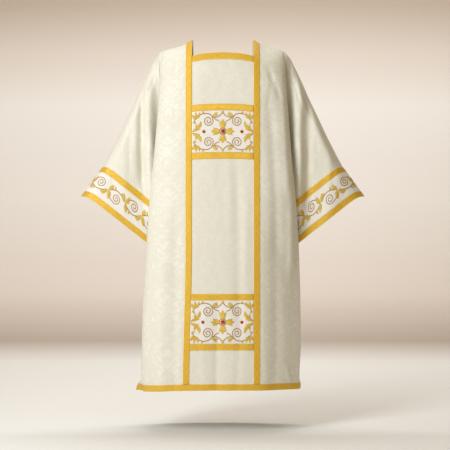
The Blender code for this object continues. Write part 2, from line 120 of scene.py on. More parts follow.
# upright folds: across the body at the fold's top, middle and foot; raise is over the panel
frontFolds = table(
    "top    foot   outTop  outMid  outLow  width   raise",
    (-0.16, -0.78, 0.156, 0.180, 0.186, 0.0170, -0.0050),
    (-0.56, -1.36, 0.182, 0.184, 0.178, 0.0180, -0.0030),
    (-0.06, -0.56, 0.211, 0.220, 0.226, 0.0140, 0.0070),
    (-0.38, -0.82, 0.238, 0.243, 0.243, 0.0150, 0.0085),
    (-0.36, -1.02, 0.048, 0.052, 0.058, 0.0180, -0.0030),
    (-0.84, -1.30, -0.016, -0.018, -0.022, 0.0180, -0.0030),
    (-0.48, -1.30, -0.158, -0.162, -0.166, 0.0200, -0.0035),
    (-0.60, -1.30, -0.206, -0.212, -0.216, 0.0200, 0.0040),
)
backFolds = table(
    "top    foot   outTop  outMid  outLow  width   raise",
    (-0.30, -1.30, -0.150, -0.172, -0.162, 0.0190, -0.0070),
    (-0.42, -1.30, 0.158, 0.176, 0.184, 0.0200, -0.0060),
    (-0.50, -1.30, -0.040, -0.048, -0.056, 0.0220, -0.0035),
    (-0.70, -1.30, 0.034, 0.040, 0.048, 0.0220, 0.0035),
)
# how the front is drawn flat across, and falls back on the wearer's left from the hip down
drape = {
    "rightRound": 4.0,
    "leftRound": 4.4,
    "fallFrom": 0.44,
    "fallFull": 0.80,
    "fallShare": 0.97,
    "fallPower": 1.30,
    "edgeBack": 0.013,
    "edgeOut": 0.009,
    "edgeOutFrom": 0.10,
    "edgeOutTo": 0.24,
}
# small creases on the big folds, from one end to the other
frontCreases = table(
    "fromX   fromZ   toX     toZ     width   raise",
    (0.058, -0.82, 0.050, -1.30, 0.0130, -0.0022),
    (0.082, -0.46, 0.080, -0.90, 0.0120, 0.0014),
    (0.020, -0.30, 0.030, -0.70, 0.0160, 0.0012),
    (-0.060, -0.80, -0.066, -1.28, 0.0120, 0.0014),
    (-0.014, -0.92, -0.030, -1.30, 0.0080, -0.0014),
    (-0.150, -0.06, -0.205, -0.24, 0.0100, -0.0026),
    (-0.165, -0.10, -0.190, -0.36, 0.0090, 0.0016),
    (0.150, -0.06, 0.205, -0.22, 0.0095, -0.0028),
    (0.176, -0.08, 0.150, -0.26, 0.0080, -0.0016),
    (0.226, -0.52, 0.238, -0.92, 0.0100, 0.0016),
    (0.188, -0.76, 0.182, -1.24, 0.0120, -0.0016),
    (0.146, -0.86, 0.148, -1.28, 0.0090, 0.0012),
    (0.210, -1.10, 0.246, -1.20, 0.0080, 0.0034),
    (-0.236, -0.60, -0.248, -1.10, 0.0110, -0.0022),
    (-0.142, -0.90, -0.150, -1.26, 0.0100, 0.0012),
    (-0.225, -0.98, -0.196, -1.20, 0.0110, 0.0018),
)
backCreases = table(
    "fromX   fromZ   toX     toZ     width   raise",
    (0.150, -0.07, 0.200, -0.26, 0.0100, -0.0024),
    (-0.148, -0.06, -0.204, -0.22, 0.0095, -0.0026),
    (-0.090, -0.50, -0.096, -0.96, 0.0120, 0.0016),
    (0.090, -0.62, 0.104, -1.24, 0.0130, -0.0022),
    (0.214, -0.56, 0.232, -1.04, 0.0110, 0.0024),
    (-0.214, -0.50, -0.236, -1.12, 0.0120, 0.0026),
    (0.010, -0.84, 0.002, -1.28, 0.0100, -0.0020),
)


def smoothStep(low, high, value):
    share = np.clip((value - low) / (high - low), 0.0, 1.0)
    return share * share * (3.0 - 2.0 * share)


def readTable(rows, key, column, at):  # a smooth curve that never overshoots its rows
    keys = rows[key]
    values = rows[column]
    step = np.diff(keys)
    rise = np.diff(values) / step
    product = rise[:-1] * rise[1:]
    total = rise[:-1] + rise[1:]
    inner = np.where(product > 0, 2 * product / np.where(total == 0, 1, total), 0)
    slope = np.concatenate([rise[:1], inner, rise[-1:]])
    at = np.clip(at, keys[0], keys[-1])
    i = np.minimum(np.searchsorted(keys, at, side="right") - 1, len(step) - 1)
    s = (at - keys[i]) / step[i]
    return (
        values[i] * (1 + 2 * s) * (1 - s) ** 2
        + slope[i] * step[i] * s * (1 - s) ** 2
        + values[i + 1] * s * s * (3 - 2 * s)
        + slope[i + 1] * step[i] * s * s * (s - 1)
    )


def foldHeight(folds, x, z):
    height = np.zeros_like(x)
    for top, foot, outTop, outMid, outLow, width, lift in zip(*folds.values()):
        along = (top - z) / (top - foot)
        line = (
            outTop * (1 - along) * (1 - 2 * along)
            + outMid * 4 * along * (1 - along)
            + outLow * along * (2 * along - 1)
        )
        ends = smoothStep(0.0, cut["foldFullFrom"], along)
        ends = ends * (1 - smoothStep(cut["foldFullTo"], 1.0, along))
        height = height + lift * ends * np.exp(-(((x - line) / width) ** 2))
    return height


def creaseHeight(creases, x, z):
    height = np.zeros_like(x)
    for fromX, fromZ, toX, toZ, width, lift in zip(*creases.values()):
        runX, runZ = toX - fromX, toZ - fromZ
        length = math.hypot(runX, runZ)
        along = ((x - fromX) * runX + (z - fromZ) * runZ) / length**2
        aside = ((x - fromX) * runZ - (z - fromZ) * runX) / length
        wander = 0.25 * width * np.sin(7 * along + 40 * fromX)
        ends = smoothStep(0.0, 0.3, along) * (1 - smoothStep(0.7, 1.0, along))
        height = height + lift * ends * np.exp(-(((aside - wander) / width) ** 2))
    return height


# the cloth is never quite even: long slow waves, and small ones beside the sewn braids
unevenness = {"slow": 0.0010, "fine": 0.00028, "pucker": 0.00022, "puckerReach": 0.012}


def slowWaves(x, z, seed):
    waves = np.sin(31 * x + 2.1 * np.sin(3.1 * z + seed) + seed)
    waves = waves + 0.6 * np.sin(57 * x - 5.3 * z + 1.7 * np.sin(6.1 * z + 2 * seed))
    return 0.5 * waves * (0.6 + 0.4 * np.sin(4.7 * z + 9 * x + seed))


def fineWaves(x, z, seed):
    waves = np.sin(138 * x + 41 * z + 2 * np.sin(23 * z + seed))
    return 0.5 * (waves + np.sin(97 * x - 66 * z + 1.6 * np.sin(51 * x + seed)))


def pucker(x, z):
    beside = np.minimum(np.abs(np.abs(x) - cut["braidIn"]), np.abs(np.abs(x) - braidOut))
    near = np.exp(-((beside / unevenness["puckerReach"]) ** 2))
    return near * np.sin(175 * z + 2.2 * np.sin(29 * z + 4 * x)) * np.sign(np.abs(x) - braidOut)


def heightAt(x, down):
    slope = readTable(shoulderRows, "out", "rise", np.abs(x)) * np.exp(-down / cut["slopeLength"])
    dip = np.where(x < 0, cut["hemDipRight"], cut["hemDipLeft"]) * np.abs(x / cut["hemHalf"]) ** 3
    return slope - dip * smoothStep(cut["hemTiltFrom"], cut["length"], down) - down


# across: 0 in the middle, 1 at the upright braid's outer edge, 2 at the visible edge, 3 at the
# seam in the fold behind it; negative on the wearer's right
def bodySurface(panel, across, down):
    across, down = np.broadcast_arrays(np.asarray(across, float), np.asarray(down, float))
    side = np.where(across < 0, -1.0, 1.0)
    far = np.abs(across)
    dome = np.sqrt(1 - (1 - np.minimum(down / cut["domeHeight"], 1)) ** 2)
    gap = np.where(down <= 0, cut["ridgeGap"], cut["seamGap"])
    depth = readTable(bodyRows, "down", "front" if panel < 0 else "back", down) * dome
    edgeDepth = np.maximum(readTable(bodyRows, "down", "side", down) * dome, gap)
    falls = smoothStep(drape["fallFrom"], drape["fallFull"], down) * (side > 0) * (panel < 0)
    edgeDepth = edgeDepth - drape["edgeBack"] * falls
    chest = smoothStep(drape["edgeOutFrom"], drape["edgeOutTo"], down)
    chest = chest * (1 - smoothStep(drape["fallFrom"] - 0.10, drape["fallFull"], down))
    edgeDepth = edgeDepth + drape["edgeOut"] * chest * (side > 0) * (panel < 0)
    right = readTable(bodyRows, "down", "right", down)
    width = np.where(side < 0, right, readTable(bodyRows, "down", "left", down))
    sway = cut["sway"] * smoothStep(cut["swayFrom"], cut["length"], down) * (side < 0)
    braidEdge = braidOut + sway
    flat = np.minimum(far, 1) * braidOut
    face = flat + sway * np.minimum(flat / cut["braidIn"], 1)
    out = np.where(far <= 1, face, braidEdge + np.clip(far - 1, 0, 1) * (width - braidEdge))
    ratio = np.minimum(out / width, 1)
    power = cut["roundAcross"]
    if panel < 0:
        power = np.where(side < 0, drape["rightRound"], drape["leftRound"])
        power = power + (cut["roundAcross"] - power) * falls
    arch = np.sqrt(np.maximum(1 - ratio ** power, 0))
    slantRun = np.clip((out - braidEdge) / (width - braidEdge), 0, 1) ** drape["fallPower"]
    slant = np.sqrt(np.maximum(1 - (braidEdge / width) ** power, 0)) * (1 - slantRun)
    arch = arch + np.where(far > 1, slant - arch, 0) * drape["fallShare"] * falls
    x = side * out
    z = heightAt(x, down)
    folds, creases = (frontFolds, frontCreases) if panel < 0 else (backFolds, backCreases)
    relief = foldHeight(folds, x, z) + creaseHeight(creases, x, z)
    relief = relief + unevenness["slow"] * slowWaves(x, z, 1.3 - panel) * dome
    relief = relief + unevenness["fine"] * fineWaves(x, z, 2.0 + panel) * dome
    relief = relief + unevenness["pucker"] * pucker(x, z) * dome
    y = edgeDepth + (depth - edgeDepth) * arch + relief * (1 - ratio ** cut["foldEdgePower"])
    seen = np.stack([x, panel * np.maximum(y, gap), z], axis=-1)
    seam = readTable(bodyRows, "down", "seam", down)
    tuck = np.maximum(readTable(bodyRows, "down", "tuck", down) * dome, gap)
    bend = cut["tuckBend"] * np.maximum(edgeDepth - tuck, 0)
    lead = cut["tuckBend"] * (width - seam)
    share = np.clip(far - 2, 0, 1)
    a, b = (1 - share) ** 3, 3 * share * (1 - share) ** 2
    c, d = 3 * share**2 * (1 - share), share**3
    curl = smoothStep(cut["length"] - cut["curlHeight"], cut["length"], down)
    curl = curl * share ** cut["curlPower"] * np.where(side < 0, cut["curlRight"], cut["curlLeft"])
    tuckX = side * ((a + b) * width + c * (seam + lead) + d * seam + curl)
    tuckY = a * edgeDepth + b * (edgeDepth - bend) + c * (tuck + bend) + d * tuck
    hidden = np.stack([tuckX, panel * tuckY, heightAt(tuckX, down)], axis=-1)
    return np.where((far <= 2)[..., None], seen, hidden)


def lengthsAlong(line):
    return np.concatenate([[0], np.cumsum(np.linalg.norm(np.diff(line, axis=0), axis=1))])


def unitNormals(points, closed=False):  # outward, for a grid of rows down and columns across
    if closed:
        padded = np.concatenate([points[:, -2:-1], points, points[:, 1:2]], axis=1)
        across = padded[:, 2:] - padded[:, :-2]
    else:
        across = np.gradient(points, axis=1)
    normals = np.cross(across, np.gradient(points, axis=0))
    normals /= np.maximum(np.linalg.norm(normals, axis=2, keepdims=True), 1e-12)
    return -normals if np.sum(normals[..., 1] * points[..., 1]) < 0 else normals


def clothLengths(points):  # the flat pattern: metres across from the middle, and metres down
    steps = np.linalg.norm(np.diff(points, axis=1), axis=2)
    across = np.concatenate([np.zeros((len(points), 1)), np.cumsum(steps, axis=1)], axis=1)
    across -= across[:, across.shape[1] // 2][:, None]
    down = lengthsAlong(points[:, points.shape[1] // 2])
    return np.stack([across, np.broadcast_to(-down[:, None], across.shape)], axis=-1)


def gridInto(bm, points, flat, outward):  # a grid of faces through points, with its UVs
    rows, columns = points.shape[:2]
    old = set(bm.faces)
    uvs = bm.loops.layers.uv.verify()
    made = bmesh.ops.create_grid(bm, x_segments=columns - 1, y_segments=rows - 1, size=0.5)
    spot = {}
    for vert in made["verts"]:
        column = round((vert.co.x + 0.5) * (columns - 1))
        row = round((vert.co.y + 0.5) * (rows - 1))
        spot[vert] = (row, column)
    for vert, (row, column) in spot.items():
        vert.co = points[row, column]
    faces = [face for face in bm.faces if face not in old]
    middle = faces[len(faces) // 2]
    middle.normal_update()
    for face in faces:
        for loop in face.loops:
            loop[uvs].uv = flat[spot[loop.vert]]
    row, column = spot[middle.loops[0].vert]
    if middle.normal.dot(Vector(outward[row, column])) < 0:
        bmesh.ops.reverse_faces(bm, faces=faces)
    return faces


def addObject(name, data):
    made = bpy.data.objects.new(name, data)
    bpy.context.collection.objects.link(made)
    return made


def addMesh(name, bm, material):
    mesh = bpy.data.meshes.new(name)
    bm.to_mesh(mesh)
    bm.free()
    mesh.materials.append(material)
    mesh.shade_smooth()
    return addObject(name, mesh)


def finishPiece(name, bm, material, replaced=(), wall=0.0):
    bmesh.ops.remove_doubles(bm, verts=bm.verts, dist=1e-6)
    piece = addMesh(name, bm, material)
    if wall:
        solid = piece.modifiers.new("cloth wall", "SOLIDIFY")
        solid.thickness = wall
        solid.offset = -1
    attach(piece, "root")
    if replaced:
        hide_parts(*replaced)
    return piece


def feed(tree, socket, value):
    if isinstance(value, bpy.types.NodeSocket):
        tree.links.new(value, socket)
    else:
        socket.default_value = value


def addMath(tree, operation, *values):
    node = tree.nodes.new("ShaderNodeMath")
    node.operation = operation
    for socket, value in zip(node.inputs, values):
        feed(tree, socket, value)
    return node.outputs[0]


def multiply(tree, first, second):
    return addMath(tree, "MULTIPLY", first, second)


def multiplyAdd(tree, first, second, added):
    return addMath(tree, "MULTIPLY_ADD", first, second, added)


def subtract(tree, first, second):
    return addMath(tree, "SUBTRACT", first, second)


def absolute(tree, value):
    return addMath(tree, "ABSOLUTE", value)


def addRipple(tree, value, pitch):  # a sine wave that repeats every pitch metres
    return addMath(tree, "SINE", multiply(tree, value, 2 * math.pi / pitch))


def addMix(tree, share, first, second):
    node = tree.nodes.new("ShaderNodeMix")
    node.data_type = "RGBA"
    feed(tree, node.inputs[0], share)
    feed(tree, node.inputs[6], first)
    feed(tree, node.inputs[7], second)
    return node.outputs[2]


def addRange(tree, value, low, high, toLow=0.0, toHigh=1.0):
    node = tree.nodes.new("ShaderNodeMapRange")
    node.interpolation_type = "SMOOTHSTEP"
    for socket, given in zip(node.inputs, (value, low, high, toLow, toHigh)):
        feed(tree, socket, given)
    return node.outputs[0]


def addNoise(tree, vector, scale, detail=2.0):
    node = tree.nodes.new("ShaderNodeTexNoise")
    feed(tree, node.inputs["Vector"], vector)
    node.inputs["Scale"].default_value = scale
    node.inputs["Detail"].default_value = detail
    return node.outputs["Fac"]


def addBump(tree, height, distance, strength=1.0, under=None):
    node = tree.nodes.new("ShaderNodeBump")
    node.inputs["Strength"].default_value = strength
    node.inputs["Distance"].default_value = distance
    feed(tree, node.inputs["Height"], height)
    if under is not None:
        feed(tree, node.inputs["Normal"], under)
    return node.outputs["Normal"]


def startMaterial(name, **settings):
    made = bpy.data.materials.new(name)
    made.use_nodes = True
    shader = made.node_tree.nodes["Principled BSDF"]
    for socket, value in settings.items():
        shader.inputs[socket.replace("_", " ")].default_value = value
    return made, made.node_tree, shader


def patternSpace(tree):  # the piece's own flat pattern, in metres
    uv = tree.nodes.new("ShaderNodeUVMap")
    split = tree.nodes.new("ShaderNodeSeparateXYZ")
    tree.links.new(uv.outputs[0], split.inputs[0])
    return uv.outputs[0], split.outputs[0], split.outputs[1]


# the damask's repeat: flowers, leaves and scrolls in a half-drop, each column mirrored
damask = {
    "width": 0.128,
    "height": 0.186,
    "edge": 0.0019,
    "sway": 0.0052,
    "innerRim": 0.58,
    "leafBow": 0.004,
    "vein": (0.0002, 0.0011),
    "cloudScale": 17.0,
    "warp": 0.0009,
    "weft": 0.0011,
    # the figure's lighter colour is painted sheen, standing in for the light the satin figure catches
    "ground": (0.752, 0.736, 0.645, 1),
    "figure": (0.826, 0.811, 0.722, 1),
    # the painted sheen is held back across the middle column
    "middle": 0.50,
    "middleEdge": (0.108, 0.116),
    "flowers": (  # x, y, radius, petals, how deep they are cut
        (0.000, 0.000, 0.0235, 7, 0.26),
        (0.000, 0.091, 0.0130, 5, 0.30),
        (0.041, 0.056, 0.0110, 6, 0.32),
        (0.046, -0.060, 0.0095, 5, 0.36),
    ),
    "leaves": (  # x, y of the middle, angle in degrees, half length, half width
        (0.000, 0.042, 90, 0.0170, 0.0078),
        (0.015, 0.036, 55, 0.0165, 0.0060),
        (0.030, 0.022, 24, 0.0170, 0.0064),
        (0.035, -0.002, -10, 0.0140, 0.0050),
        (0.028, -0.024, -46, 0.0165, 0.0062),
        (0.011, -0.040, -70, 0.0170, 0.0056),
        (0.022, 0.074, 150, 0.0140, 0.0050),
        (0.020, -0.074, 204, 0.0145, 0.0052),
        (0.052, 0.078, 66, 0.0130, 0.0046),
        (0.056, -0.036, 112, 0.0140, 0.0050),
        (0.058, 0.020, 78, 0.0130, 0.0040),
        (0.040, 0.036, 140, 0.0090, 0.0036),
        (0.032, -0.048, 20, 0.0085, 0.0034),
    ),
    "scrolls": (  # x, y, radius, half width of the line, where it opens in degrees
        (0.045, 0.058, 0.0190, 0.0015, 20),
        (0.048, -0.058, 0.0175, 0.0014, -40),
        (0.030, 0.006, 0.0130, 0.0013, 180),
        (0.014, 0.078, 0.0110, 0.0012, 0),
        (0.060, -0.006, 0.0120, 0.0012, 250),
    ),
}


def damaskFigure(tree, u, v):
    wide, tall, edge = damask["width"], damask["height"], damask["edge"]
    column = addMath(tree, "FLOOR", addMath(tree, "DIVIDE", u, wide))
    odd = addMath(tree, "FLOORED_MODULO", column, 2.0)
    centre = multiply(tree, addMath(tree, "ADD", column, 0.5), wide)
    plainX = absolute(tree, subtract(tree, u, centre))
    dropped = multiplyAdd(tree, odd, tall / 2, v)
    plainY = subtract(tree, addMath(tree, "FLOORED_MODULO", dropped, tall), tall / 2)
    turnX = addRipple(tree, plainX, wide / 2)
    turnY = addRipple(tree, plainY, tall / 3)
    x = multiplyAdd(tree, turnY, damask["sway"], plainX)
    y = multiplyAdd(tree, turnX, damask["sway"], plainY)
    figure = 0.0

    def offsetTo(atX, atY):
        dx = subtract(tree, x, atX)
        dy = subtract(tree, y, atY)
        squares = multiplyAdd(tree, dx, dx, multiply(tree, dy, dy))
        return dx, dy, addMath(tree, "SQRT", squares)

    for atX, atY, radius, petals, depth in damask["flowers"]:
        dx, dy, away = offsetTo(atX, atY)
        angle = multiply(tree, addMath(tree, "ARCTAN2", dx, dy), float(petals))
        rim = multiplyAdd(tree, addMath(tree, "COSINE", angle), radius * depth / 2,
                          radius * (1 - depth / 2))
        mask = addRange(tree, subtract(tree, rim, away), -edge, edge)
        inner = absolute(tree, multiplyAdd(tree, rim, -damask["innerRim"], away))
        mask = multiply(tree, mask, addRange(tree, inner, radius * 0.03, radius * 0.10))
        figure = addMath(tree, "MAXIMUM", figure, mask)
    for atX, atY, angle, half, wideHalf in damask["leaves"]:
        cos, sin = math.cos(math.radians(angle)), math.sin(math.radians(angle))
        dx, dy, _ = offsetTo(atX, atY)
        along = multiplyAdd(tree, dx, cos / half, multiply(tree, dy, sin / half))
        aside = multiplyAdd(tree, dx, -sin, multiply(tree, dy, cos))
        square = multiply(tree, along, along)
        aside = absolute(tree, multiplyAdd(tree, square, damask["leafBow"], aside))
        room = multiplyAdd(tree, square, -wideHalf, wideHalf)
        mask = addRange(tree, subtract(tree, room, aside), -edge, edge)
        vein = addRange(tree, aside, *damask["vein"])
        figure = addMath(tree, "MAXIMUM", figure, multiply(tree, mask, vein))
    for atX, atY, radius, half, opens in damask["scrolls"]:
        dx, dy, away = offsetTo(atX, atY)
        line = absolute(tree, subtract(tree, away, radius))
        cos, sin = math.cos(math.radians(opens)), math.sin(math.radians(opens))
        towards = multiplyAdd(tree, dx, cos, multiply(tree, dy, sin))
        closed = addRange(tree, towards, radius * 0.30, radius * -0.40)
        mask = multiply(tree, addRange(tree, line, half + edge, half), closed)
        figure = addMath(tree, "MAXIMUM", figure, mask)
    return figure


def damaskMaterial():
    made, tree, shader = startMaterial("ivory damask", Sheen_Weight=0.12, Sheen_Roughness=0.45)
    space, u, v = patternSpace(tree)
    figure = damaskFigure(tree, u, v)
    # painted sheen: the figure is painted lighter, in patches, and less in the middle column
    cloud = addRange(tree, addNoise(tree, space, damask["cloudScale"]), 0.36, 0.64, 0.45, 1.0)
    middle = addRange(tree, absolute(tree, u), *damask["middleEdge"], damask["middle"], 1.0)
    paintedSheen = multiply(tree, multiply(tree, figure, cloud), middle)
    feed(tree, shader.inputs["Base Color"],
         addMix(tree, paintedSheen, damask["ground"], damask["figure"]))
    tree.links.new(addRange(tree, figure, 0.0, 1.0, 0.64, 0.46), shader.inputs["Roughness"])
    weave = multiply(tree, addRipple(tree, u, damask["warp"]), addRipple(tree, v, damask["weft"]))
    relief = addBump(tree, figure, 0.00025, 0.7)
    tree.links.new(addBump(tree, weave, 0.00006, 0.5, under=relief), shader.inputs["Normal"])
    return made


# woven galloon: a zigzag of small leaves between two plain edges
galloon = {
    "repeat": 0.026,
    "slant": 0.9,
    "zigzag": 0.55,
    "leafPitch": 0.0065,
    "leafEdge": (0.0034, 0.0016),
    "ribPitch": 0.0013,
    "plainEdge": 0.0030,
    "plainEdgeSoft": 0.0008,
    "dark": (0.600, 0.310, 0.016, 1),
    "gold": (0.800, 0.495, 0.034, 1),
    "bright": (0.880, 0.590, 0.075, 1),
    "pattern": 0.50,
}


def braidMaterial():
    made, tree, shader = startMaterial("woven gold braid", Metallic=0.25, Sheen_Weight=0.02)
    space, along, aside = patternSpace(tree)
    repeat = galloon["repeat"]
    half = cut["braidWidth"] / 2
    phase = addMath(tree, "PINGPONG", along, repeat / 2)
    slant = multiplyAdd(tree, aside, galloon["slant"], phase)
    wave = addRipple(tree, slant, galloon["leafPitch"])
    zigzag = subtract(tree, absolute(tree, aside), multiply(tree, phase, galloon["zigzag"]))
    leaf = addRange(tree, absolute(tree, zigzag), *galloon["leafEdge"])
    ribs = addRipple(tree, along, galloon["ribPitch"])
    inner = half - galloon["plainEdge"]
    edge = addRange(tree, absolute(tree, aside), inner, inner + galloon["plainEdgeSoft"])
    leaf = multiply(tree, leaf, addRange(tree, wave, -0.8, 0.6))
    pattern = addMath(tree, "MAXIMUM", leaf, multiply(tree, edge, 0.6))
    mottle = addRange(tree, addNoise(tree, space, 260.0, 3.0), 0.32, 0.70)
    base = addMix(tree, multiply(tree, mottle, 0.55), galloon["gold"], galloon["dark"])
    shown = multiply(tree, pattern, galloon["pattern"])
    tree.links.new(addMix(tree, shown, base, galloon["bright"]), shader.inputs["Base Color"])
    tree.links.new(addRange(tree, pattern, 0.0, 1.0, 0.52, 0.34), shader.inputs["Roughness"])
    relief = addBump(tree, pattern, 0.0004, 0.7)
    tree.links.new(addBump(tree, ribs, 0.00012, 0.6, under=relief), shader.inputs["Normal"])
    return made


damaskCloth = damaskMaterial()
goldBraid = braidMaterial()
print("cloth and braid finishes ready")

groundSettings = {
    "satin": (0.856, 0.836, 0.798, 1),
    "shade": (0.786, 0.758, 0.706, 1),
    "twill": 0.0012,
}


def groundMaterial():
    made, tree, shader = startMaterial("embroidery ground", Roughness=0.55, Sheen_Weight=0.10)
    space, u, v = patternSpace(tree)
    twill = addRipple(tree, addMath(tree, "ADD", u, v), groundSettings["twill"])
    feed(tree, shader.inputs["Base Color"],
         addMix(tree, addNoise(tree, space, 60.0), groundSettings["satin"], groundSettings["shade"]))
    tree.links.new(addBump(tree, twill, 0.00008, 0.5), shader.inputs["Normal"])
    return made


groundSatin = groundMaterial()


def bodyRowsDown(neck, spacing=0.0056):
    crown = cut["domeHeight"] * (1 - np.cos(np.linspace(0, math.pi / 2, 38)))
    rest = np.linspace(cut["domeHeight"], cut["length"], round(1.07 / spacing))
    rows = np.concatenate([crown, rest[1:]])
    rows[np.argmin(np.abs(rows - neck))] = neck
    return rows


def bodyColumns():
    face = np.linspace(0, cut["braidIn"] / braidOut, 21)
    braid = np.linspace(cut["braidIn"] / braidOut, 1, 5)[1:]
    edge = 1 + np.sin(np.linspace(0, math.pi / 2, 30))[1:]
    tuck = 2 + np.linspace(0, 1, 12)[1:]
    half = np.concatenate([face, braid, edge, tuck])
    return np.concatenate([-half[:0:-1], half])


def makePanels():
    for panel, label, neck in panels:
        points = bodySurface(panel, bodyColumns()[None, :], bodyRowsDown(neck)[:, None])
        bm = bmesh.new()
        gridInto(bm, points, clothLengths(points), unitNormals(points))
        edge = bodySurface(panel, np.linspace(-1, 1, 81), neck)
        inNeck = []
        for face in bm.faces:
            centre = face.calc_center_median()
            if abs(centre.x) < cut["braidIn"]:
                if centre.z > np.interp(centre.x, edge[:, 0], edge[:, 2]):
                    inNeck.append(face)
        bmesh.ops.delete(bm, geom=inNeck, context="FACES")
        piece = finishPiece(f"{label}_cloth", bm, damaskCloth,
                            (f"{label}_panel",), cut["wall"])
        print(f"{label} cloth made")


makePanels()

# the sleeve from the armhole to the cuff: its upper and lower folds, half its depth where the arm
# lies and where the cloth hangs empty, and how far it has left the armhole's form
sleeveRows = table(
    "outerX outerZ underX underZ arm    hang   free",
    (0.2215, -0.0225, 0.1980, -0.3950, 0.041, 0.024, 0.00),
    (0.2385, -0.0430, 0.2030, -0.4080, 0.052, 0.024, 0.10),
    (0.2520, -0.0690, 0.2070, -0.4200, 0.053, 0.024, 0.35),
    (0.2770, -0.1220, 0.2105, -0.4390, 0.056, 0.030, 0.75),
    (0.3050, -0.1860, 0.2130, -0.4600, 0.060, 0.034, 1.00),
    (0.3330, -0.2450, 0.2170, -0.4860, 0.060, 0.034, 1.00),
    (0.3650, -0.3130, 0.2190, -0.5140, 0.058, 0.033, 1.00),
    (0.3985, -0.3790, 0.2210, -0.5440, 0.055, 0.032, 1.00),
    (0.4258, -0.4300, 0.2220, -0.5724, 0.052, 0.029, 1.00),
)
cuffEnd = {
    "outerX": 0.5000, "outerZ": -0.5310, "underX": 0.2260, "underZ": -0.7279,
    "arm": 0.048, "hang": 0.022, "free": 1.0,
}
sleeve = {
    "cuffDepth": 0.1285,
    "clearance": 0.0055,
    "outerRound": 0.17,
    "underRound": 0.22,
    "armEnds": 0.25,
    "hangFrom": 0.90,
    "calmEdge": 0.12,
    "leastDepth": 0.002,
    "slow": 0.0016,
    "fine": 0.00035,
    "archHeight": 0.0170,
    "archRound": 0.060,
    "archFrom": 5.0,
    "rowsAlong": 84,
    "rowsOnCuff": 24,
    "around": 72,
    "bandAround": 110,
    "softenings": 3,
}
sleeveRightFolds = table(
    "top    foot   outTop outMid outLow width   raise",
    (-0.04, -0.66, 0.246, 0.248, 0.246, 0.0130, 0.0140),
    (-0.05, -0.64, 0.259, 0.262, 0.260, 0.0120, 0.0100),
    (-0.10, -0.52, 0.283, 0.286, 0.285, 0.0105, -0.0150),
    (-0.26, -0.62, 0.352, 0.352, 0.350, 0.0240, 0.0030),
)
sleeveLeftFolds = table(
    "top    foot   outTop outMid outLow width   raise",
    (-0.03, -0.66, 0.246, 0.250, 0.248, 0.0130, 0.0165),
    (-0.05, -0.64, 0.266, 0.269, 0.266, 0.0140, 0.0140),
    (-0.10, -0.58, 0.299, 0.303, 0.300, 0.0160, -0.0115),
    (-0.20, -0.72, 0.300, 0.392, 0.330, 0.0340, 0.0080),
    (-0.28, -0.74, 0.266, 0.275, 0.272, 0.0170, 0.0110),
)
sleeveBackFolds = table(
    "top    foot   outTop outMid outLow width   raise",
    (-0.13, -0.60, 0.276, 0.284, 0.288, 0.0140, 0.0060),
    (-0.16, -0.64, 0.304, 0.316, 0.322, 0.0150, -0.0070),
)
sleeveCreases = table(
    "fromX   fromZ   toX     toZ     width   raise",
    (0.226, -0.03, 0.256, -0.17, 0.0060, -0.0100),
    (0.256, -0.04, 0.230, -0.16, 0.0055, 0.0100),
    (0.238, -0.03, 0.272, -0.14, 0.0050, 0.0080),
    (0.250, -0.07, 0.268, -0.22, 0.0060, -0.0050),
    (0.250, -0.10, 0.300, -0.26, 0.0090, 0.0022),
    (0.270, -0.13, 0.350, -0.28, 0.0120, -0.0018),
    (0.300, -0.24, 0.320, -0.50, 0.0120, 0.0018),
    (0.330, -0.26, 0.330, -0.52, 0.0100, -0.0020),
    (0.372, -0.34, 0.384, -0.50, 0.0120, 0.0014),
    (0.400, -0.40, 0.392, -0.55, 0.0100, -0.0014),
    (0.236, -0.34, 0.262, -0.52, 0.0090, -0.0024),
)
lastStation = len(sleeveRows["free"]) - 1
cuffBraidShare = cut["braidWidth"] / sleeve["cuffDepth"]
seamRows = 15
cuffHeading = (-0.58, 0.81)  # from the cuff up the sleeve: outwards, and up


def sleeveStation(step):  # 0 at the armhole, 8 at the cuff's upper edge, 9 at its lower edge
    keyed = {**sleeveRows, "step": np.arange(lastStation + 1.0)}
    onCuff = max(step - lastStation, 0)
    station = {}
    for name in sleeveRows:
        value = float(readTable(keyed, "step", name, min(step, lastStation)))
        station[name] = value + onCuff * (cuffEnd[name] - value)
    return station


def armholeSeam(layer, side, share):
    neck = cut["frontNeck"] if layer < 0 else cut["backNeck"]
    upper = [0, 0.004, 0.014, 0.032, neck, neck + cut["braidWidth"], 0.110, 0.150, 0.190]
    lower = np.linspace(cut["chestTop"] + cut["braidWidth"], cut["chestLow"], 4, endpoint=False)
    rows = np.array([*upper, cut["chestTop"], *lower, cut["underarm"]])
    down = np.interp(share * (seamRows - 1), np.arange(seamRows), rows)
    end = bodySurface(layer, side * 3.0, down)
    onward = end - bodySurface(layer, side * 2.97, down)
    onward /= np.linalg.norm(onward, axis=1, keepdims=True)
    outside = np.stack([-layer * onward[:, 1], layer * onward[:, 0], 0 * down], axis=1) * side
    outside[down <= 0] = (0, 0, 1)
    outside /= np.linalg.norm(outside, axis=1, keepdims=True)
    return end + onward * cut["armholeGap"] + outside * cut["seamGap"]


def roundEnd(share, width):
    return np.sqrt(1 - (1 - np.clip(share / width, 0, 1)) ** 2)


def roomBehindEdge(layer, side, x, z):  # how deep the sleeve may be behind the panel's edge
    down = shoulderRows["rise"][-1] * np.exp(z / cut["slopeLength"]) - z
    tuck = bodySurface(layer, side * (3 - np.linspace(0, 1, 14))[None, :], down[:, None])
    outs, depths = np.abs(tuck[..., 0]), np.abs(tuck[..., 1])
    room = [np.interp(at, out, depth) for at, out, depth in zip(x, outs, depths)]
    return np.where(x > outs.max(axis=1) + sleeve["clearance"], 1.0,
                    np.array(room) - sleeve["clearance"])


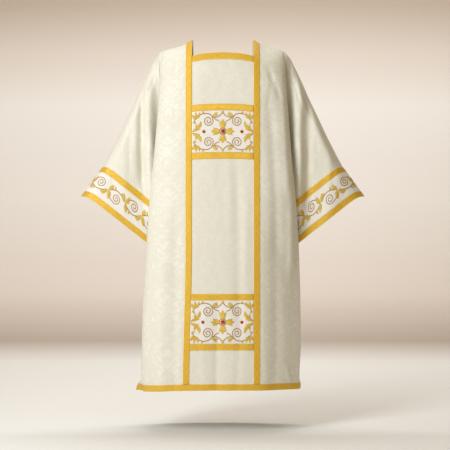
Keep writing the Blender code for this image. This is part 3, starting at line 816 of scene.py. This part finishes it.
def sleeveLine(layer, side, step, share):  # one layer of the sleeve, round from fold to fold
    seam = armholeSeam(layer, side, share)
    if step <= 0:
        return seam
    if step < 1:
        return seam + step * (sleeveLine(layer, side, 1.0, share) - seam)
    lengths = np.linalg.norm(np.diff(seam, axis=0), axis=1)
    seamShare = np.concatenate([[0], np.cumsum(lengths)]) / lengths.sum()
    cuffShare = (1 - np.cos(math.pi * share)) / 2
    station = sleeveStation(step)
    free = station["free"]
    way = seamShare + (cuffShare - seamShare) * free
    x = station["outerX"] + way * (station["underX"] - station["outerX"])
    z = station["outerZ"] + way * (station["underZ"] - station["outerZ"])
    startX = np.abs(seam[:, 0])
    x = x + (startX - (startX[0] + seamShare * (startX[-1] - startX[0]))) * (1 - free)
    empty = smoothStep(sleeve["armEnds"], sleeve["hangFrom"], way)
    own = station["arm"] + (station["hang"] - station["arm"]) * empty
    own = own * roundEnd(way, sleeve["outerRound"]) * roundEnd(1 - way, sleeve["underRound"])
    inside = smoothStep(0, sleeve["calmEdge"], way) * smoothStep(0, sleeve["calmEdge"], 1 - way)
    frontFold = sleeveRightFolds if side < 0 else sleeveLeftFolds
    folds = frontFold if layer < 0 else sleeveBackFolds
    relief = foldHeight(folds, x, z) + creaseHeight(sleeveCreases, x, z)
    relief = relief + sleeve["slow"] * slowWaves(x, z, 2.4 + layer + side)
    relief = relief + sleeve["fine"] * fineWaves(x, z, 1.1 + layer + side)
    depth = np.abs(seam[:, 1]) * (1 - free) + own * free + relief * free * inside
    depth = np.minimum(depth, roomBehindEdge(layer, side, x, z))
    depth[1:-1] = np.maximum(depth[1:-1], sleeve["leastDepth"])
    depth[[0, -1]] = 0
    arch = (1 - np.exp(-way / sleeve["archRound"])) * (1 - way)
    arch = arch * sleeve["archHeight"] * smoothStep(sleeve["archFrom"], lastStation, step)
    return np.stack([side * (x + arch * cuffHeading[0]), layer * depth,
                     z + arch * cuffHeading[1]], axis=1)


def sleeveRings(side, steps, around):  # whole rings: down the front, then up the back
    share = np.linspace(0, 1, around + 1)
    rings = []
    for step in steps:
        front = sleeveLine(-1, side, step, share)
        back = sleeveLine(1, side, step, share)
        top, low = (front[:1] + back[:1]) / 2, (front[-1:] + back[-1:]) / 2
        rings.append(np.concatenate([top, front[1:-1], low, back[-2:0:-1], top]))
    return np.array(rings)


def ringLengths(points):  # the sleeve's flat pattern: metres round it, and metres along it
    steps = np.linalg.norm(np.diff(points, axis=1), axis=2)
    around = np.concatenate([np.zeros((len(points), 1)), np.cumsum(steps, axis=1)], axis=1)
    down = np.linalg.norm(np.diff(points, axis=0), axis=2)
    along = np.concatenate([np.zeros((1, points.shape[1])), np.cumsum(down, axis=0)])
    return np.stack([around, -along], axis=-1)


def makeSleeves():
    for side, label in sides:
        onCuff = lastStation + np.linspace(0, 1, sleeve["rowsOnCuff"])[1:]
        steps = np.concatenate([np.linspace(0, lastStation, sleeve["rowsAlong"]), onCuff])
        points = sleeveRings(side, steps, sleeve["around"])
        last = sleeve["rowsAlong"] - 2
        for _ in range(sleeve["softenings"]):  # soften the bends between stations
            middle = (points[1:last - 1] + points[3:last + 1]) / 2
            points[2:last] += 0.5 * (middle - points[2:last])
        bm = bmesh.new()
        gridInto(bm, points, ringLengths(points), unitNormals(points, closed=True))
        piece = finishPiece(f"{label}_sleeve_cloth", bm, damaskCloth,
                            (f"sleeve_{label}",), cut["wall"])
        print(f"{label} sleeve made")


makeSleeves()

# each braid: plain edges a little raised, and a slight crown between them
braid = {
    "wall": 0.0012,
    "laidGap": 0.0003,
    "edgeCord": 0.00028,
    "cordAt": 0.88,
    "cordWidth": 0.07,
    "crown": 0.00018,
    "rounded": 0.0004,
    "roundedFrom": 0.93,
}
braidAcross = np.array([-1, -0.97, -0.90, -0.80, -0.70, -0.35, 0, 0.35, 0.70, 0.80, 0.90, 0.97, 1])


def braidRelief(aside):
    edge = np.exp(-(((np.abs(aside) - braid["cordAt"]) / braid["cordWidth"]) ** 2))
    rounded = braid["rounded"] * smoothStep(braid["roundedFrom"], 1.0, np.abs(aside))
    return braid["edgeCord"] * edge + braid["crown"] * (1 - aside**2) - rounded


def layBraid(name, points, normals, node):  # rows go across the braid, columns along it
    lift = braid["laidGap"] + braid["wall"] + braidRelief(braidAcross)
    raised = points + normals * lift[:, None, None]
    along = lengthsAlong(points[len(points) // 2])
    aside = braidAcross * cut["braidWidth"] / 2
    flat = np.stack(np.broadcast_arrays(along[None, :], aside[:, None]), axis=-1)
    bm = bmesh.new()
    gridInto(bm, raised, flat, normals)
    stitchBraid(sewing["cuffs" if node.startswith("cuff") else "panels"], raised, normals)
    return finishPiece(name, bm, goldBraid, (node,), braid["wall"])


# small stitches hold each braid down, just inside its two edges
stitches = {
    "pitch": 0.0065,
    "halfWidth": 0.00042,
    "height": 0.00034,
    "sunk": 0.0003,
    "twist": 0.0007,
    # the dark and light thread colours are painted shade and painted highlight along the twist
    "dark": (0.640, 0.360, 0.025, 1),
    "light": (0.900, 0.640, 0.110, 1),
}


def threadColour():
    made, tree, shader = startMaterial("sewing thread", Roughness=0.5)
    space, along, aside = patternSpace(tree)
    # painted highlight and shade in bands along the thread's twist
    twist = addRange(tree, addRipple(tree, along, stitches["twist"]), -1.0, 1.0)
    feed(tree, shader.inputs["Base Color"],
         addMix(tree, twist, stitches["dark"], stitches["light"]))
    return made


sewingThread = threadColour()
sewing = {"panels": bmesh.new(), "cuffs": bmesh.new()}


def stitchBraid(bm, points, normals):
    for edge in (3, len(points) - 4):
        line, facing = points[edge], normals[edge]
        along = lengthsAlong(line)
        count = max(int(along[-1] / stitches["pitch"]), 2)
        rise = np.tile([-1.0, 0.9, 0.9, -1.0], count)
        at = (np.repeat(np.arange(count), 4) + np.tile([0.10, 0.28, 0.72, 0.90], count)) / count
        at = at * along[-1]
        spots = np.stack([np.interp(at, along, line[:, k]) for k in range(3)], axis=1)
        up = np.stack([np.interp(at, along, facing[:, k]) for k in range(3)], axis=1)
        heading = np.gradient(spots, axis=0)
        heading /= np.linalg.norm(heading, axis=1, keepdims=True)
        lateral = np.cross(up, heading)
        turn = np.linspace(0, math.tau, 4)
        height = stitches["height"] * rise
        swell = np.ones((len(at), 1, 1))
        swell[[0, -1]] = 0
        middle = (spots + up * height[:, None])[:, None]
        outward = lateral[:, None] * (np.cos(turn) * stitches["halfWidth"])[:, None]
        outward = outward + up[:, None] * (np.sin(turn) * stitches["sunk"])[:, None]
        rings = middle + outward * swell
        flat = np.stack(np.broadcast_arrays(at[:, None], turn[None, :]), axis=-1)
        gridInto(bm, rings, flat, outward)


def spread(low, high):  # the places across a braid, between its two edges
    return low + (high - low) * (braidAcross + 1) / 2


def downSteps(low, high, spacing=0.004):
    crown = cut["domeHeight"] * (1 - np.cos(np.linspace(0, math.pi / 2, 46)))
    rest = np.arange(cut["domeHeight"], cut["length"], spacing)
    every = np.concatenate([crown, rest])
    return np.concatenate([[low], every[(every > low + 0.001) & (every < high - 0.001)], [high]])


def makeBodyBraids():
    inShare = cut["braidIn"] / braidOut
    trim = braid["laidGap"] / braidOut
    width = cut["braidWidth"]
    for panel, label, neck in panels:
        for side, sideName in sides:
            across = side * spread(inShare, 1.0)
            downs = downSteps(0.0, hemTop - braid["laidGap"])
            points = bodySurface(panel, across[:, None], downs[None, :])
            layBraid(f"{label}_upright_braid_{sideName}_woven", points, unitNormals(points),
                     f"{label}_upright_braid_{sideName}")
            across = side * spread(cut["ventBraidFrom"], 3.0)
            downs = downSteps(cut["ventTop"], hemTop - braid["laidGap"])
            points = bodySurface(panel, across[:, None], downs[None, :])
            layBraid(f"{label}_vent_braid_{sideName}_woven", points, unitNormals(points),
                     f"{label}_vent_braid_{sideName}")
        across = bodyColumns()
        points = bodySurface(panel, across[None, :], spread(hemTop, cut["length"])[:, None])
        layBraid(f"{label}_hem_braid_woven", points, unitNormals(points), f"{label}_hem_braid")
        bars = {"neck": neck}
        if panel < 0:
            bars.update(chest_top=cut["chestTop"], chest_low=cut["chestLow"],
                        lower_top=cut["lowerTop"], lower_low=cut["lowerLow"])
        across = np.linspace(-inShare + trim, inShare - trim, 56)
        for bar, down in bars.items():
            points = bodySurface(panel, across[None, :], spread(down, down + width)[:, None])
            layBraid(f"{label}_{bar}_braid_woven", points, unitNormals(points),
                     f"{label}_{bar}_braid")
    print("body braids laid")


def makeCuffBraids():
    for side, label in sides:
        for part, low in (("upper", 0.0), ("lower", 1 - cuffBraidShare)):
            steps = lastStation + spread(low, low + cuffBraidShare)
            points = sleeveRings(side, steps, sleeve["bandAround"])
            layBraid(f"cuff_{part}_braid_{label}_woven", points, unitNormals(points, closed=True),
                     f"cuff_{part}_braid_{label}")
    print("cuff braids laid")


makeBodyBraids()
makeCuffBraids()
for sewn, bm in sewing.items():
    finishPiece(f"{sewn}_braid_stitching", bm, sewingThread)
print("braids stitched down")

band = {"wall": 0.0010, "laidGap": 0.0003}
bandLift = band["laidGap"] + band["wall"]
zones = {
    "chest": (cut["chestTop"] + cut["braidWidth"], cut["chestLow"]),
    "lower": (cut["lowerTop"] + cut["braidWidth"], cut["lowerLow"]),
}


def cuffBandRings(side):
    share = np.linspace(cuffBraidShare, 1 - cuffBraidShare, 24)
    return sleeveRings(side, lastStation + share, sleeve["bandAround"])


def layGround(name, points, normals, flat, node):
    bm = bmesh.new()
    gridInto(bm, points + normals * bandLift, flat, normals)
    finishPiece(name, bm, groundSatin, (node,), band["wall"])


def makeGrounds():
    inShare = (cut["braidIn"] - braid["laidGap"]) / braidOut
    for zone, (top, low) in zones.items():
        across = np.linspace(-inShare, inShare, 64)
        downs = np.linspace(top + band["laidGap"], low - band["laidGap"], 44)
        points = bodySurface(-1, across[None, :], downs[:, None])
        layGround(f"{zone}_panel_satin", points, unitNormals(points), clothLengths(points),
                  f"{zone}_embroidered_panel")
    for side, label in sides:
        points = cuffBandRings(side)
        layGround(f"cuff_band_satin_{label}", points, unitNormals(points, closed=True),
                  ringLengths(points), f"cuff_embroidered_band_{label}")
    print("embroidery grounds laid")


makeGrounds()

# gold satin-stitch leaves and thin couched stems, worked over the grounds
threads = {
    "leaf": (0.650, 0.405, 0.018, 1),
    # the light leaf colour is a painted highlight on each strand's crest
    "leafPaintedHighlight": (0.920, 0.680, 0.100, 1),
    "outline": (0.190, 0.090, 0.012, 1),
    "stem": (0.300, 0.145, 0.014, 1),
    # the light stem colour is a painted highlight on each strand's crest
    "stemPaintedHighlight": (0.560, 0.330, 0.040, 1),
    "stemWidth": 0.0033,
    "stemHeight": 0.0011,
    "leafHeight": 0.0015,
    "leafFullness": 1.18,
    "sunk": 0.0002,
    "strand": 0.0008,
    "slant": 0.0022,
    "rimEdge": (0.74, 0.90),
    "veinEdge": (0.12, 0.03),
}


def threadMaterial(name, base, light, outline):
    made, tree, shader = startMaterial(name, Metallic=0.15, Roughness=0.42)
    space, along, aside = patternSpace(tree)
    far = absolute(tree, aside)
    strand = addRipple(tree, multiplyAdd(tree, far, threads["slant"], along), threads["strand"])
    # painted highlight and shade: the light colour on each strand's crest, the base colour between
    # strands, on the same ripple as the bump
    colour = addMix(tree, addRange(tree, strand, -0.6, 1.0), base, light)
    if outline is not None:
        vein = multiply(tree, addRange(tree, far, *threads["veinEdge"]), 0.7)
        rim = addRange(tree, far, *threads["rimEdge"])
        colour = addMix(tree, addMath(tree, "MAXIMUM", rim, vein), colour, outline)
    tree.links.new(colour, shader.inputs["Base Color"])
    tree.links.new(addBump(tree, strand, 0.00010, 0.7), shader.inputs["Normal"])
    return made


leafThread = threadMaterial("gold leaf thread", threads["leaf"], threads["leafPaintedHighlight"],
                            threads["outline"])
stemThread = threadMaterial("bronze stem thread", threads["stem"], threads["stemPaintedHighlight"], None)


def placeOnPanel(zone):  # flat places from the panel's middle, and heights over its ground
    top, low = zones[zone]
    middle = (top + low) / 2
    nudge = 0.0008

    def place(x, y, height):
        across, down = x / braidOut, middle - y
        spot = bodySurface(-1, across, down)
        right = bodySurface(-1, across + nudge / braidOut, down) - spot
        below = bodySurface(-1, across, down + nudge) - spot
        facing = np.cross(below, right)
        facing /= np.linalg.norm(facing, axis=-1, keepdims=True)
        facing *= np.where(facing[..., 1:2] > 0, -1, 1)
        return spot + facing * np.asarray(bandLift + height)[..., None], facing

    return place, (low - top) / 2


def placeOnCuff(side):  # flat places round the cuff from its upper fold
    rings = cuffBandRings(side)
    facing = unitNormals(rings, closed=True)
    around = lengthsAlong(rings[len(rings) // 2])
    half = sleeve["cuffDepth"] * (0.5 - cuffBraidShare)

    def place(x, y, height):
        x, y, height = np.broadcast_arrays(x, y, height)
        row = np.clip((half - y) / (2 * half), 0, 1) * (len(rings) - 1)
        column = np.interp(np.mod(x, around[-1]), around, np.arange(len(around)))
        i = np.minimum(row.astype(int), len(rings) - 2)
        j = np.minimum(column.astype(int), len(around) - 2)
        s, t = (row - i)[..., None], (column - j)[..., None]

        def blend(grid):
            upper = grid[i, j] * (1 - t) + grid[i, j + 1] * t
            return upper * (1 - s) + (grid[i + 1, j] * (1 - t) + grid[i + 1, j + 1] * t) * s

        normal = blend(facing)
        return blend(rings) + normal * (bandLift + height)[..., None], normal

    return place, half, around[-1]


def curveThrough(points, count=24):  # a smooth line through given points
    points = np.array(points, float)
    padded = np.concatenate([2 * points[:1] - points[1:2], points, 2 * points[-1:] - points[-2:-1]])
    line = []
    for at in np.linspace(0, len(points) - 1 - 1e-9, count):
        i = int(at)
        s = at - i
        a, b, c, d = padded[i:i + 4]
        line.append(0.5 * (2 * b + (c - a) * s + (2 * a - 5 * b + 4 * c - d) * s**2
                           + (3 * b - 3 * c + d - a) * s**3))
    return np.array(line)


def spiral(centre, radius, turns, endAngle, turning, count=46):
    s = np.linspace(0, 1, count) ** 0.8
    angle = endAngle - turning * turns * math.tau * (1 - s)
    away = radius * (0.10 + 0.90 * s)
    return np.stack([centre[0] + away * np.cos(angle), centre[1] + away * np.sin(angle)], axis=1)


def workedBar(bm, place, line, halfWidths, heights, facets):  # a low closed body along a line
    heading = np.gradient(line, axis=0)
    heading /= np.maximum(np.linalg.norm(heading, axis=1, keepdims=True), 1e-9)
    lateral = np.stack([-heading[:, 1], heading[:, 0]], axis=1)
    turn = np.linspace(0, math.tau, facets + 1)
    aside = np.cos(turn)
    groove = 1 - 0.35 * np.exp(-((aside / 0.2) ** 2)) * (facets > 8)
    rise = np.where(np.sin(turn) > 1e-6, np.sin(turn) * groove, 0.0)
    flatX = line[:, 0:1] + lateral[:, 0:1] * aside * halfWidths[:, None]
    flatY = line[:, 1:2] + lateral[:, 1:2] * aside * halfWidths[:, None]
    points, normals = place(flatX, flatY, heights[:, None] * rise - threads["sunk"])
    lengths = lengthsAlong(line)
    flat = np.stack(np.broadcast_arrays(lengths[:, None], aside[None, :]), axis=-1)
    middle = len(line) // 2
    faces = gridInto(bm, points, flat, normals)
    crown = points[middle, facets // 4]
    nearest = min(faces, key=lambda face: (face.calc_center_median() - Vector(crown)).length)
    nearest.normal_update()
    if nearest.normal.dot(Vector(normals[middle, facets // 4])) < 0:
        bmesh.ops.reverse_faces(bm, faces=faces)


def addStem(bm, place, line, width=1.0):
    s = np.linspace(0, 1, len(line))
    taper = np.minimum(1, np.minimum(s, 1 - s) / 0.06) ** 0.5
    half = threads["stemWidth"] / 2 * width * taper
    workedBar(bm, place, line, half, threads["stemHeight"] * taper, 8)


def addLeaf(bm, place, base, tip, width, bend=0.0):
    base, tip = np.array(base, float), np.array(tip, float)
    run = tip - base
    side = np.array([-run[1], run[0]])
    s = np.linspace(0, 1, 12)[:, None]
    line = base + run * s + side * bend * 4 * s * (1 - s)
    s = s[:, 0]
    swell = np.sin(math.pi * s**0.8) ** 0.8
    swell[[0, -1]] = 0
    half = threads["leafFullness"] * width / 2 * swell
    workedBar(bm, place, line, half, threads["leafHeight"] * swell**0.5, 12)


# the panel's motif, one quarter of it, mirrored both ways; metres from the panel's middle
panelMotif = {
    "halfHeight": 0.0698,
    "ring": 0.0112,
    "spiral": ((0.0500, 0.0355), 0.0170, 1.9, 180.0),
    "overArc": ((0.1040, 0.0290), (0.0950, 0.0420), (0.0820, 0.0545), (0.0660, 0.0600),
                (0.0500, 0.0590), (0.0380, 0.0510), (0.0330, 0.0355)),
    "stems": (
        ((0.0360, 0.0480), (0.0260, 0.0465), (0.0140, 0.0500), (0.0050, 0.0570), (0.0005, 0.0640)),
        ((0.0310, 0.0470), (0.0260, 0.0410), (0.0190, 0.0370), (0.0120, 0.0350)),
        ((0.1050, 0.0020), (0.0960, 0.0065), (0.0880, 0.0130)),
    ),
    "leaves": (  # base, tip, width, bend
        ((0.0370, 0.0500), (0.0140, 0.0545), 0.0080, -0.10),
        ((0.0330, 0.0530), (0.0160, 0.0625), 0.0058, -0.08),
        ((0.0910, 0.0450), (0.0790, 0.0665), 0.0085, 0.10),
        ((0.0920, 0.0450), (0.0930, 0.0680), 0.0070, 0.00),
        ((0.0930, 0.0440), (0.1045, 0.0610), 0.0080, -0.10),
        ((0.0990, 0.0360), (0.0930, 0.0270), 0.0060, 0.00),
        ((0.1045, 0.0035), (0.0760, 0.0085), 0.0088, -0.10),
        ((0.0890, 0.0120), (0.0760, 0.0370), 0.0098, 0.16),
        ((0.0900, 0.0120), (0.0900, 0.0270), 0.0068, -0.10),
        ((0.0670, 0.0600), (0.0680, 0.0685), 0.0066, 0.00),
        ((0.0000, 0.0575), (0.0000, 0.0695), 0.0080, 0.00),
    ),
    "armLeaves": ((0.0090, 0.0000, 0.0420, 0.0000, 0.0115, 0.00),
                  (0.0090, 0.0020, 0.0335, 0.0135, 0.0110, -0.14),
                  (0.0090, -0.0020, 0.0335, -0.0135, 0.0110, 0.14)),
}


def embroiderPanel(zone):
    place, half = placeOnPanel(zone)
    stretch = half / panelMotif["halfHeight"]
    stems, leaves = bmesh.new(), bmesh.new()
    for mirrorX in (-1, 1):
        for mirrorY in (-1, 1):
            flip = np.array([mirrorX, mirrorY * stretch])
            centre, radius, turns, endAngle = panelMotif["spiral"]
            curl = spiral(centre, radius, turns, math.radians(endAngle), -1)
            over = curveThrough(panelMotif["overArc"], 34)
            addStem(stems, place, np.concatenate([curl, over[-2::-1]]) * flip)
            for points in panelMotif["stems"]:
                addStem(stems, place, curveThrough(points) * flip)
            for base, tip, width, bend in panelMotif["leaves"]:
                if base[0] == 0 and mirrorX < 0:
                    continue
                addLeaf(leaves, place, base * flip, tip * flip, width, bend * mirrorX * mirrorY)
    for quarter in range(4):
        cos, sin = math.cos(quarter * math.pi / 2), math.sin(quarter * math.pi / 2)
        for baseX, baseY, tipX, tipY, width, bend in panelMotif["armLeaves"]:
            base = (cos * baseX - sin * baseY, sin * baseX + cos * baseY)
            tip = (cos * tipX - sin * tipY, sin * tipX + cos * tipY)
            addLeaf(leaves, place, base, tip, width, bend)
    ring = np.linspace(0, math.tau, 40)
    ring = panelMotif["ring"] * np.stack([np.cos(ring), np.sin(ring)], axis=1)
    addStem(stems, place, ring, 1.1)
    finishPiece(f"{zone}_stem_embroidery", stems, stemThread)
    finishPiece(f"{zone}_leaf_embroidery", leaves, leafThread)


# the cuff's running vine: spirals on alternate sides, with leaves and buds where it turns
vine = {
    "swings": 9,
    "firstFrom": -5,
    "offset": 0.021,
    "swing": 0.0165,
    "spiralAt": 0.0085,
    "spiralRadius": 0.0175,
    "spiralTurns": 1.9,
    "leaves": (  # base, tip, width, bend: along the cuff from a turn, then towards the spiral
        ((0.001, 0.000), (0.012, 0.028), 0.0125, -0.12),
        ((-0.001, 0.001), (-0.012, 0.026), 0.0110, 0.12),
        ((0.001, -0.003), (0.013, -0.028), 0.0120, 0.10),
    ),
}


def embroiderCuff(side, label):
    place, half, length = placeOnCuff(side)
    step = length / vine["swings"]
    stems, leaves = bmesh.new(), bmesh.new()
    for k in range(vine["swings"]):
        up = 1 if k % 2 else -1
        start = (k + vine["firstFrom"]) * step + vine["offset"]
        middle = start + step / 2
        s = np.linspace(0, 1, 24)
        wave = np.stack([start + s * step, -up * vine["swing"] * np.sin(math.pi * s)], axis=1)
        addStem(stems, place, wave, 1.05)
        curl = spiral((middle + 0.002, up * vine["spiralAt"]), vine["spiralRadius"],
                      vine["spiralTurns"], up * math.radians(110), up)
        lead = curveThrough([curl[-1], (start + 0.021, up * 0.0215), (start + 0.008, up * 0.0130),
                             (start + 0.001, 0.000)], 12)
        addStem(stems, place, np.concatenate([curl, lead[1:]]), 0.95)
        for base, tip, width, bend in vine["leaves"]:
            addLeaf(leaves, place, (start + base[0], up * base[1]), (start + tip[0], up * tip[1]),
                    width, bend * up)
        for along, outer in ((-0.012, 0.0265), (0.016, 0.0240)):
            foot = -up * vine["swing"] * math.cos(math.pi * along / step)
            addLeaf(leaves, place, (middle + along, foot), (middle + along * 1.3, -up * outer),
                    0.0062, 0.0)
    finishPiece(f"cuff_stem_embroidery_{label}", stems, stemThread)
    finishPiece(f"cuff_leaf_embroidery_{label}", leaves, leafThread)


for zoneName in zones:
    embroiderPanel(zoneName)
for cuffSide, sideLabel in sides:
    embroiderCuff(cuffSide, sideLabel)
print("embroidery worked")

# cut red stones in beaded gold rims
stones = {
    "large": 0.0080,
    "small": 0.0058,
    "offset": 0.0655,
    "profile": ((0.0, 0.66), (0.44, 0.63), (0.70, 0.48), (0.86, 0.26), (0.86, 0.06), (0.0, 0.06)),
    "rim": ((0.86, 0.04), (0.86, 0.22), (0.90, 0.28), (0.96, 0.22), (0.99, 0.04)),
    "facets": 10,
    "beads": 22,
    "beadSize": 0.085,
    "beadOut": 0.93,
    "beadUp": 0.22,
    "laidGap": 0.0002,
    "deep": (0.300, 0.004, 0.008, 1),
    "bright": (0.620, 0.012, 0.016, 1),
    "rimGold": (0.860, 0.560, 0.180, 1),
    "rimWorn": (0.680, 0.400, 0.100, 1),
}


def speckled(name, scale, contrast, first, second, **settings):
    made, tree, shader = startMaterial(name, **settings)
    where = tree.nodes.new("ShaderNodeTexCoord")
    noise = addNoise(tree, where.outputs["Object"], scale)
    share = addRange(tree, noise, 0.5 - contrast, 0.5 + contrast)
    feed(tree, shader.inputs["Base Color"], addMix(tree, share, first, second))
    return made


def turned(profile, radius, steps):
    bm = bmesh.new()
    verts = [bm.verts.new((out * radius, 0, up * radius)) for out, up in profile]
    edges = [bm.edges.new(pair) for pair in zip(verts[:-1], verts[1:])]
    bmesh.ops.spin(bm, geom=verts + edges, axis=(0, 0, 1), cent=(0, 0, 0), angle=math.tau,
                   steps=steps, use_merge=True)
    bmesh.ops.remove_doubles(bm, verts=bm.verts, dist=1e-6)
    bmesh.ops.recalc_face_normals(bm, faces=bm.faces)
    return bm


def setStones():
    red = speckled("red stone", 420.0, 0.15, stones["deep"], stones["bright"],
                   Roughness=0.07, Coat_Weight=1.0, Coat_Roughness=0.04, IOR=1.7)
    gold = speckled("polished gold rim", 900.0, 0.20, stones["rimGold"], stones["rimWorn"],
                    Metallic=1.0, Roughness=0.28)
    for zone in zones:
        place, _ = placeOnPanel(zone)
        for part, offset, radius in (("middle", 0.0, stones["large"]),
                                     ("right", -stones["offset"], stones["small"]),
                                     ("left", stones["offset"], stones["small"])):
            spot, facing = place(np.array(offset), np.array(0.0), np.array(stones["laidGap"]))
            turn = Vector(facing).to_track_quat("Z", "X").to_matrix().to_4x4()
            seat = Matrix.Translation(Vector(spot)) @ turn
            stone = turned(stones["profile"], radius, stones["facets"])
            bmesh.ops.transform(stone, matrix=seat, verts=stone.verts)
            piece = finishPiece(f"{zone}_stone_{part}_cut", stone, red,
                                (f"{zone}_stone_{part}",))
            piece.data.shade_flat()
            closed = (*stones["rim"], stones["rim"][0])
            rim = turned(closed, radius, 36)
            for k in range(stones["beads"]):
                angle = k * math.tau / stones["beads"]
                out = stones["beadOut"]
                bead = Vector((math.cos(angle) * out, math.sin(angle) * out, stones["beadUp"])) * radius
                bmesh.ops.create_icosphere(rim, subdivisions=2, radius=stones["beadSize"] * radius,
                                           matrix=Matrix.Translation(bead))
            bmesh.ops.transform(rim, matrix=seat, verts=rim.verts)
            finishPiece(f"{zone}_stone_{part}_rim", rim, gold)
    print("stones set")


setStones()

# the view, and a pale studio whose backdrop has painted shade
view = {"place": (0.0076, -5.0, -0.632), "focal": 1412.8, "frame": 450}
studio = {
    "floor": -1.350,
    "front": -6.0,
    "wallAt": 3.2,
    "bend": 0.9,
    "halfWidth": 6.0,
    "run": 12.0,
    "rampTop": 1.15,
    "tones": (  # share of the height up to rampTop, and the colour there; painted shade: a dark band low on the bend and darker towards the top
        (0.000, (0.900, 0.905, 0.910, 1)),
        (0.035, (0.525, 0.450, 0.395, 1)),
        (0.130, (0.770, 0.692, 0.645, 1)),
        (0.350, (0.860, 0.820, 0.790, 1)),
        (0.560, (0.860, 0.830, 0.810, 1)),
        (0.690, (0.700, 0.625, 0.570, 1)),
        (0.800, (0.480, 0.402, 0.336, 1)),
    ),
}


def addCamera():
    data = bpy.data.cameras.new("camera")
    data.sensor_width = 36.0
    data.lens = data.sensor_width * view["focal"] / view["frame"]
    camera = addObject("camera", data)
    camera.location = view["place"]
    camera.rotation_euler = (math.pi / 2, 0, 0)
    bpy.context.scene.camera = camera


def addSoftbox(name, place, aim, size, power, colour):
    data = bpy.data.lights.new(name, "AREA")
    data.shape = "RECTANGLE"
    data.size, data.size_y = size
    data.energy = power
    data.color = colour
    light = addObject(name, data)
    light.location = place
    light.rotation_euler = (Vector(aim) - Vector(place)).to_track_quat("-Z", "Y").to_euler()


def addBackdrop():
    made, tree, shader = startMaterial("backdrop", Roughness=0.9)
    shader.inputs["Specular IOR Level"].default_value = 0.0
    where = tree.nodes.new("ShaderNodeTexCoord")
    split = tree.nodes.new("ShaderNodeSeparateXYZ")
    tree.links.new(where.outputs["Object"], split.inputs[0])
    # the colour ramp paints shade onto the backdrop by height
    ramp = tree.nodes.new("ShaderNodeValToRGB")
    height = subtract(tree, split.outputs[2], studio["floor"])
    tree.links.new(addMath(tree, "DIVIDE", height, studio["rampTop"] - studio["floor"]),
                   ramp.inputs[0])
    stops = ramp.color_ramp.elements
    stops.remove(stops[1])
    for share, tone in studio["tones"]:
        stop = stops[0] if share == 0 else stops.new(share)
        stop.color = tone
    tree.links.new(ramp.outputs[0], shader.inputs["Base Color"])
    bm = bmesh.new()
    size = studio["halfWidth"]
    bmesh.ops.create_grid(bm, x_segments=2, y_segments=40, size=size)
    for vert in bm.verts:
        run = (vert.co.y / size + 1) / 2 * studio["run"]
        flatPart = studio["wallAt"] - studio["front"] - studio["bend"]
        turn = np.clip((run - flatPart) / (studio["bend"] * math.pi / 2), 0, 1) * math.pi / 2
        climb = max(run - flatPart - studio["bend"] * math.pi / 2, 0)
        y = min(run, flatPart) + studio["front"] + studio["bend"] * math.sin(turn)
        z = studio["floor"] + studio["bend"] * (1 - math.cos(turn)) + climb
        vert.co = (vert.co.x, y, z)
    bm.normal_update()
    addMesh("backdrop", bm, made)


lights = {
    "aim": (0.0, 0.0, -0.6),
    "world": 0.26,
    "worldColour": (1.0, 0.72, 0.34, 1),
    "keyColour": (0.952, 0.984, 1.0),
    "backdropColour": (0.980, 0.996, 1.0),
    "boxes": (  # name, degrees round to the right, degrees up, metres away, width, height, power
        ("key", -34, 22, 3.0, 1.1, 1.5, 62.5),
        ("high fill", -20, 62, 2.2, 1.0, 0.8, 4.5),
        ("low fill", -60, -20, 2.0, 0.8, 1.2, 4),
    ),
    "backdropBox": ((0.4, 0.8, 2.4), (0.2, 3.6, -0.5), (4.0, 0.8)),  # place, aim, size
    "backdropPower": 95,
}


def addLights():
    aim = Vector(lights["aim"])
    for name, around, up, away, width, height, power in lights["boxes"]:
        turn, climb = math.radians(around), math.radians(up)
        heading = Vector((math.sin(turn) * math.cos(climb), -math.cos(turn) * math.cos(climb),
                          math.sin(climb)))
        addSoftbox(name, aim + heading * away, aim, (width, height), power, lights["keyColour"])
    addSoftbox("backdrop light", *lights["backdropBox"], lights["backdropPower"],
               lights["backdropColour"])
    world = bpy.data.worlds.new("studio")
    bpy.context.scene.world = world
    world.use_nodes = True
    background = world.node_tree.nodes["Background"]
    background.inputs["Color"].default_value = lights["worldColour"]
    background.inputs["Strength"].default_value = lights["world"]
    bpy.context.scene.view_settings.view_transform = "Standard"


addCamera()
addBackdrop()
addLights()
print("studio ready")
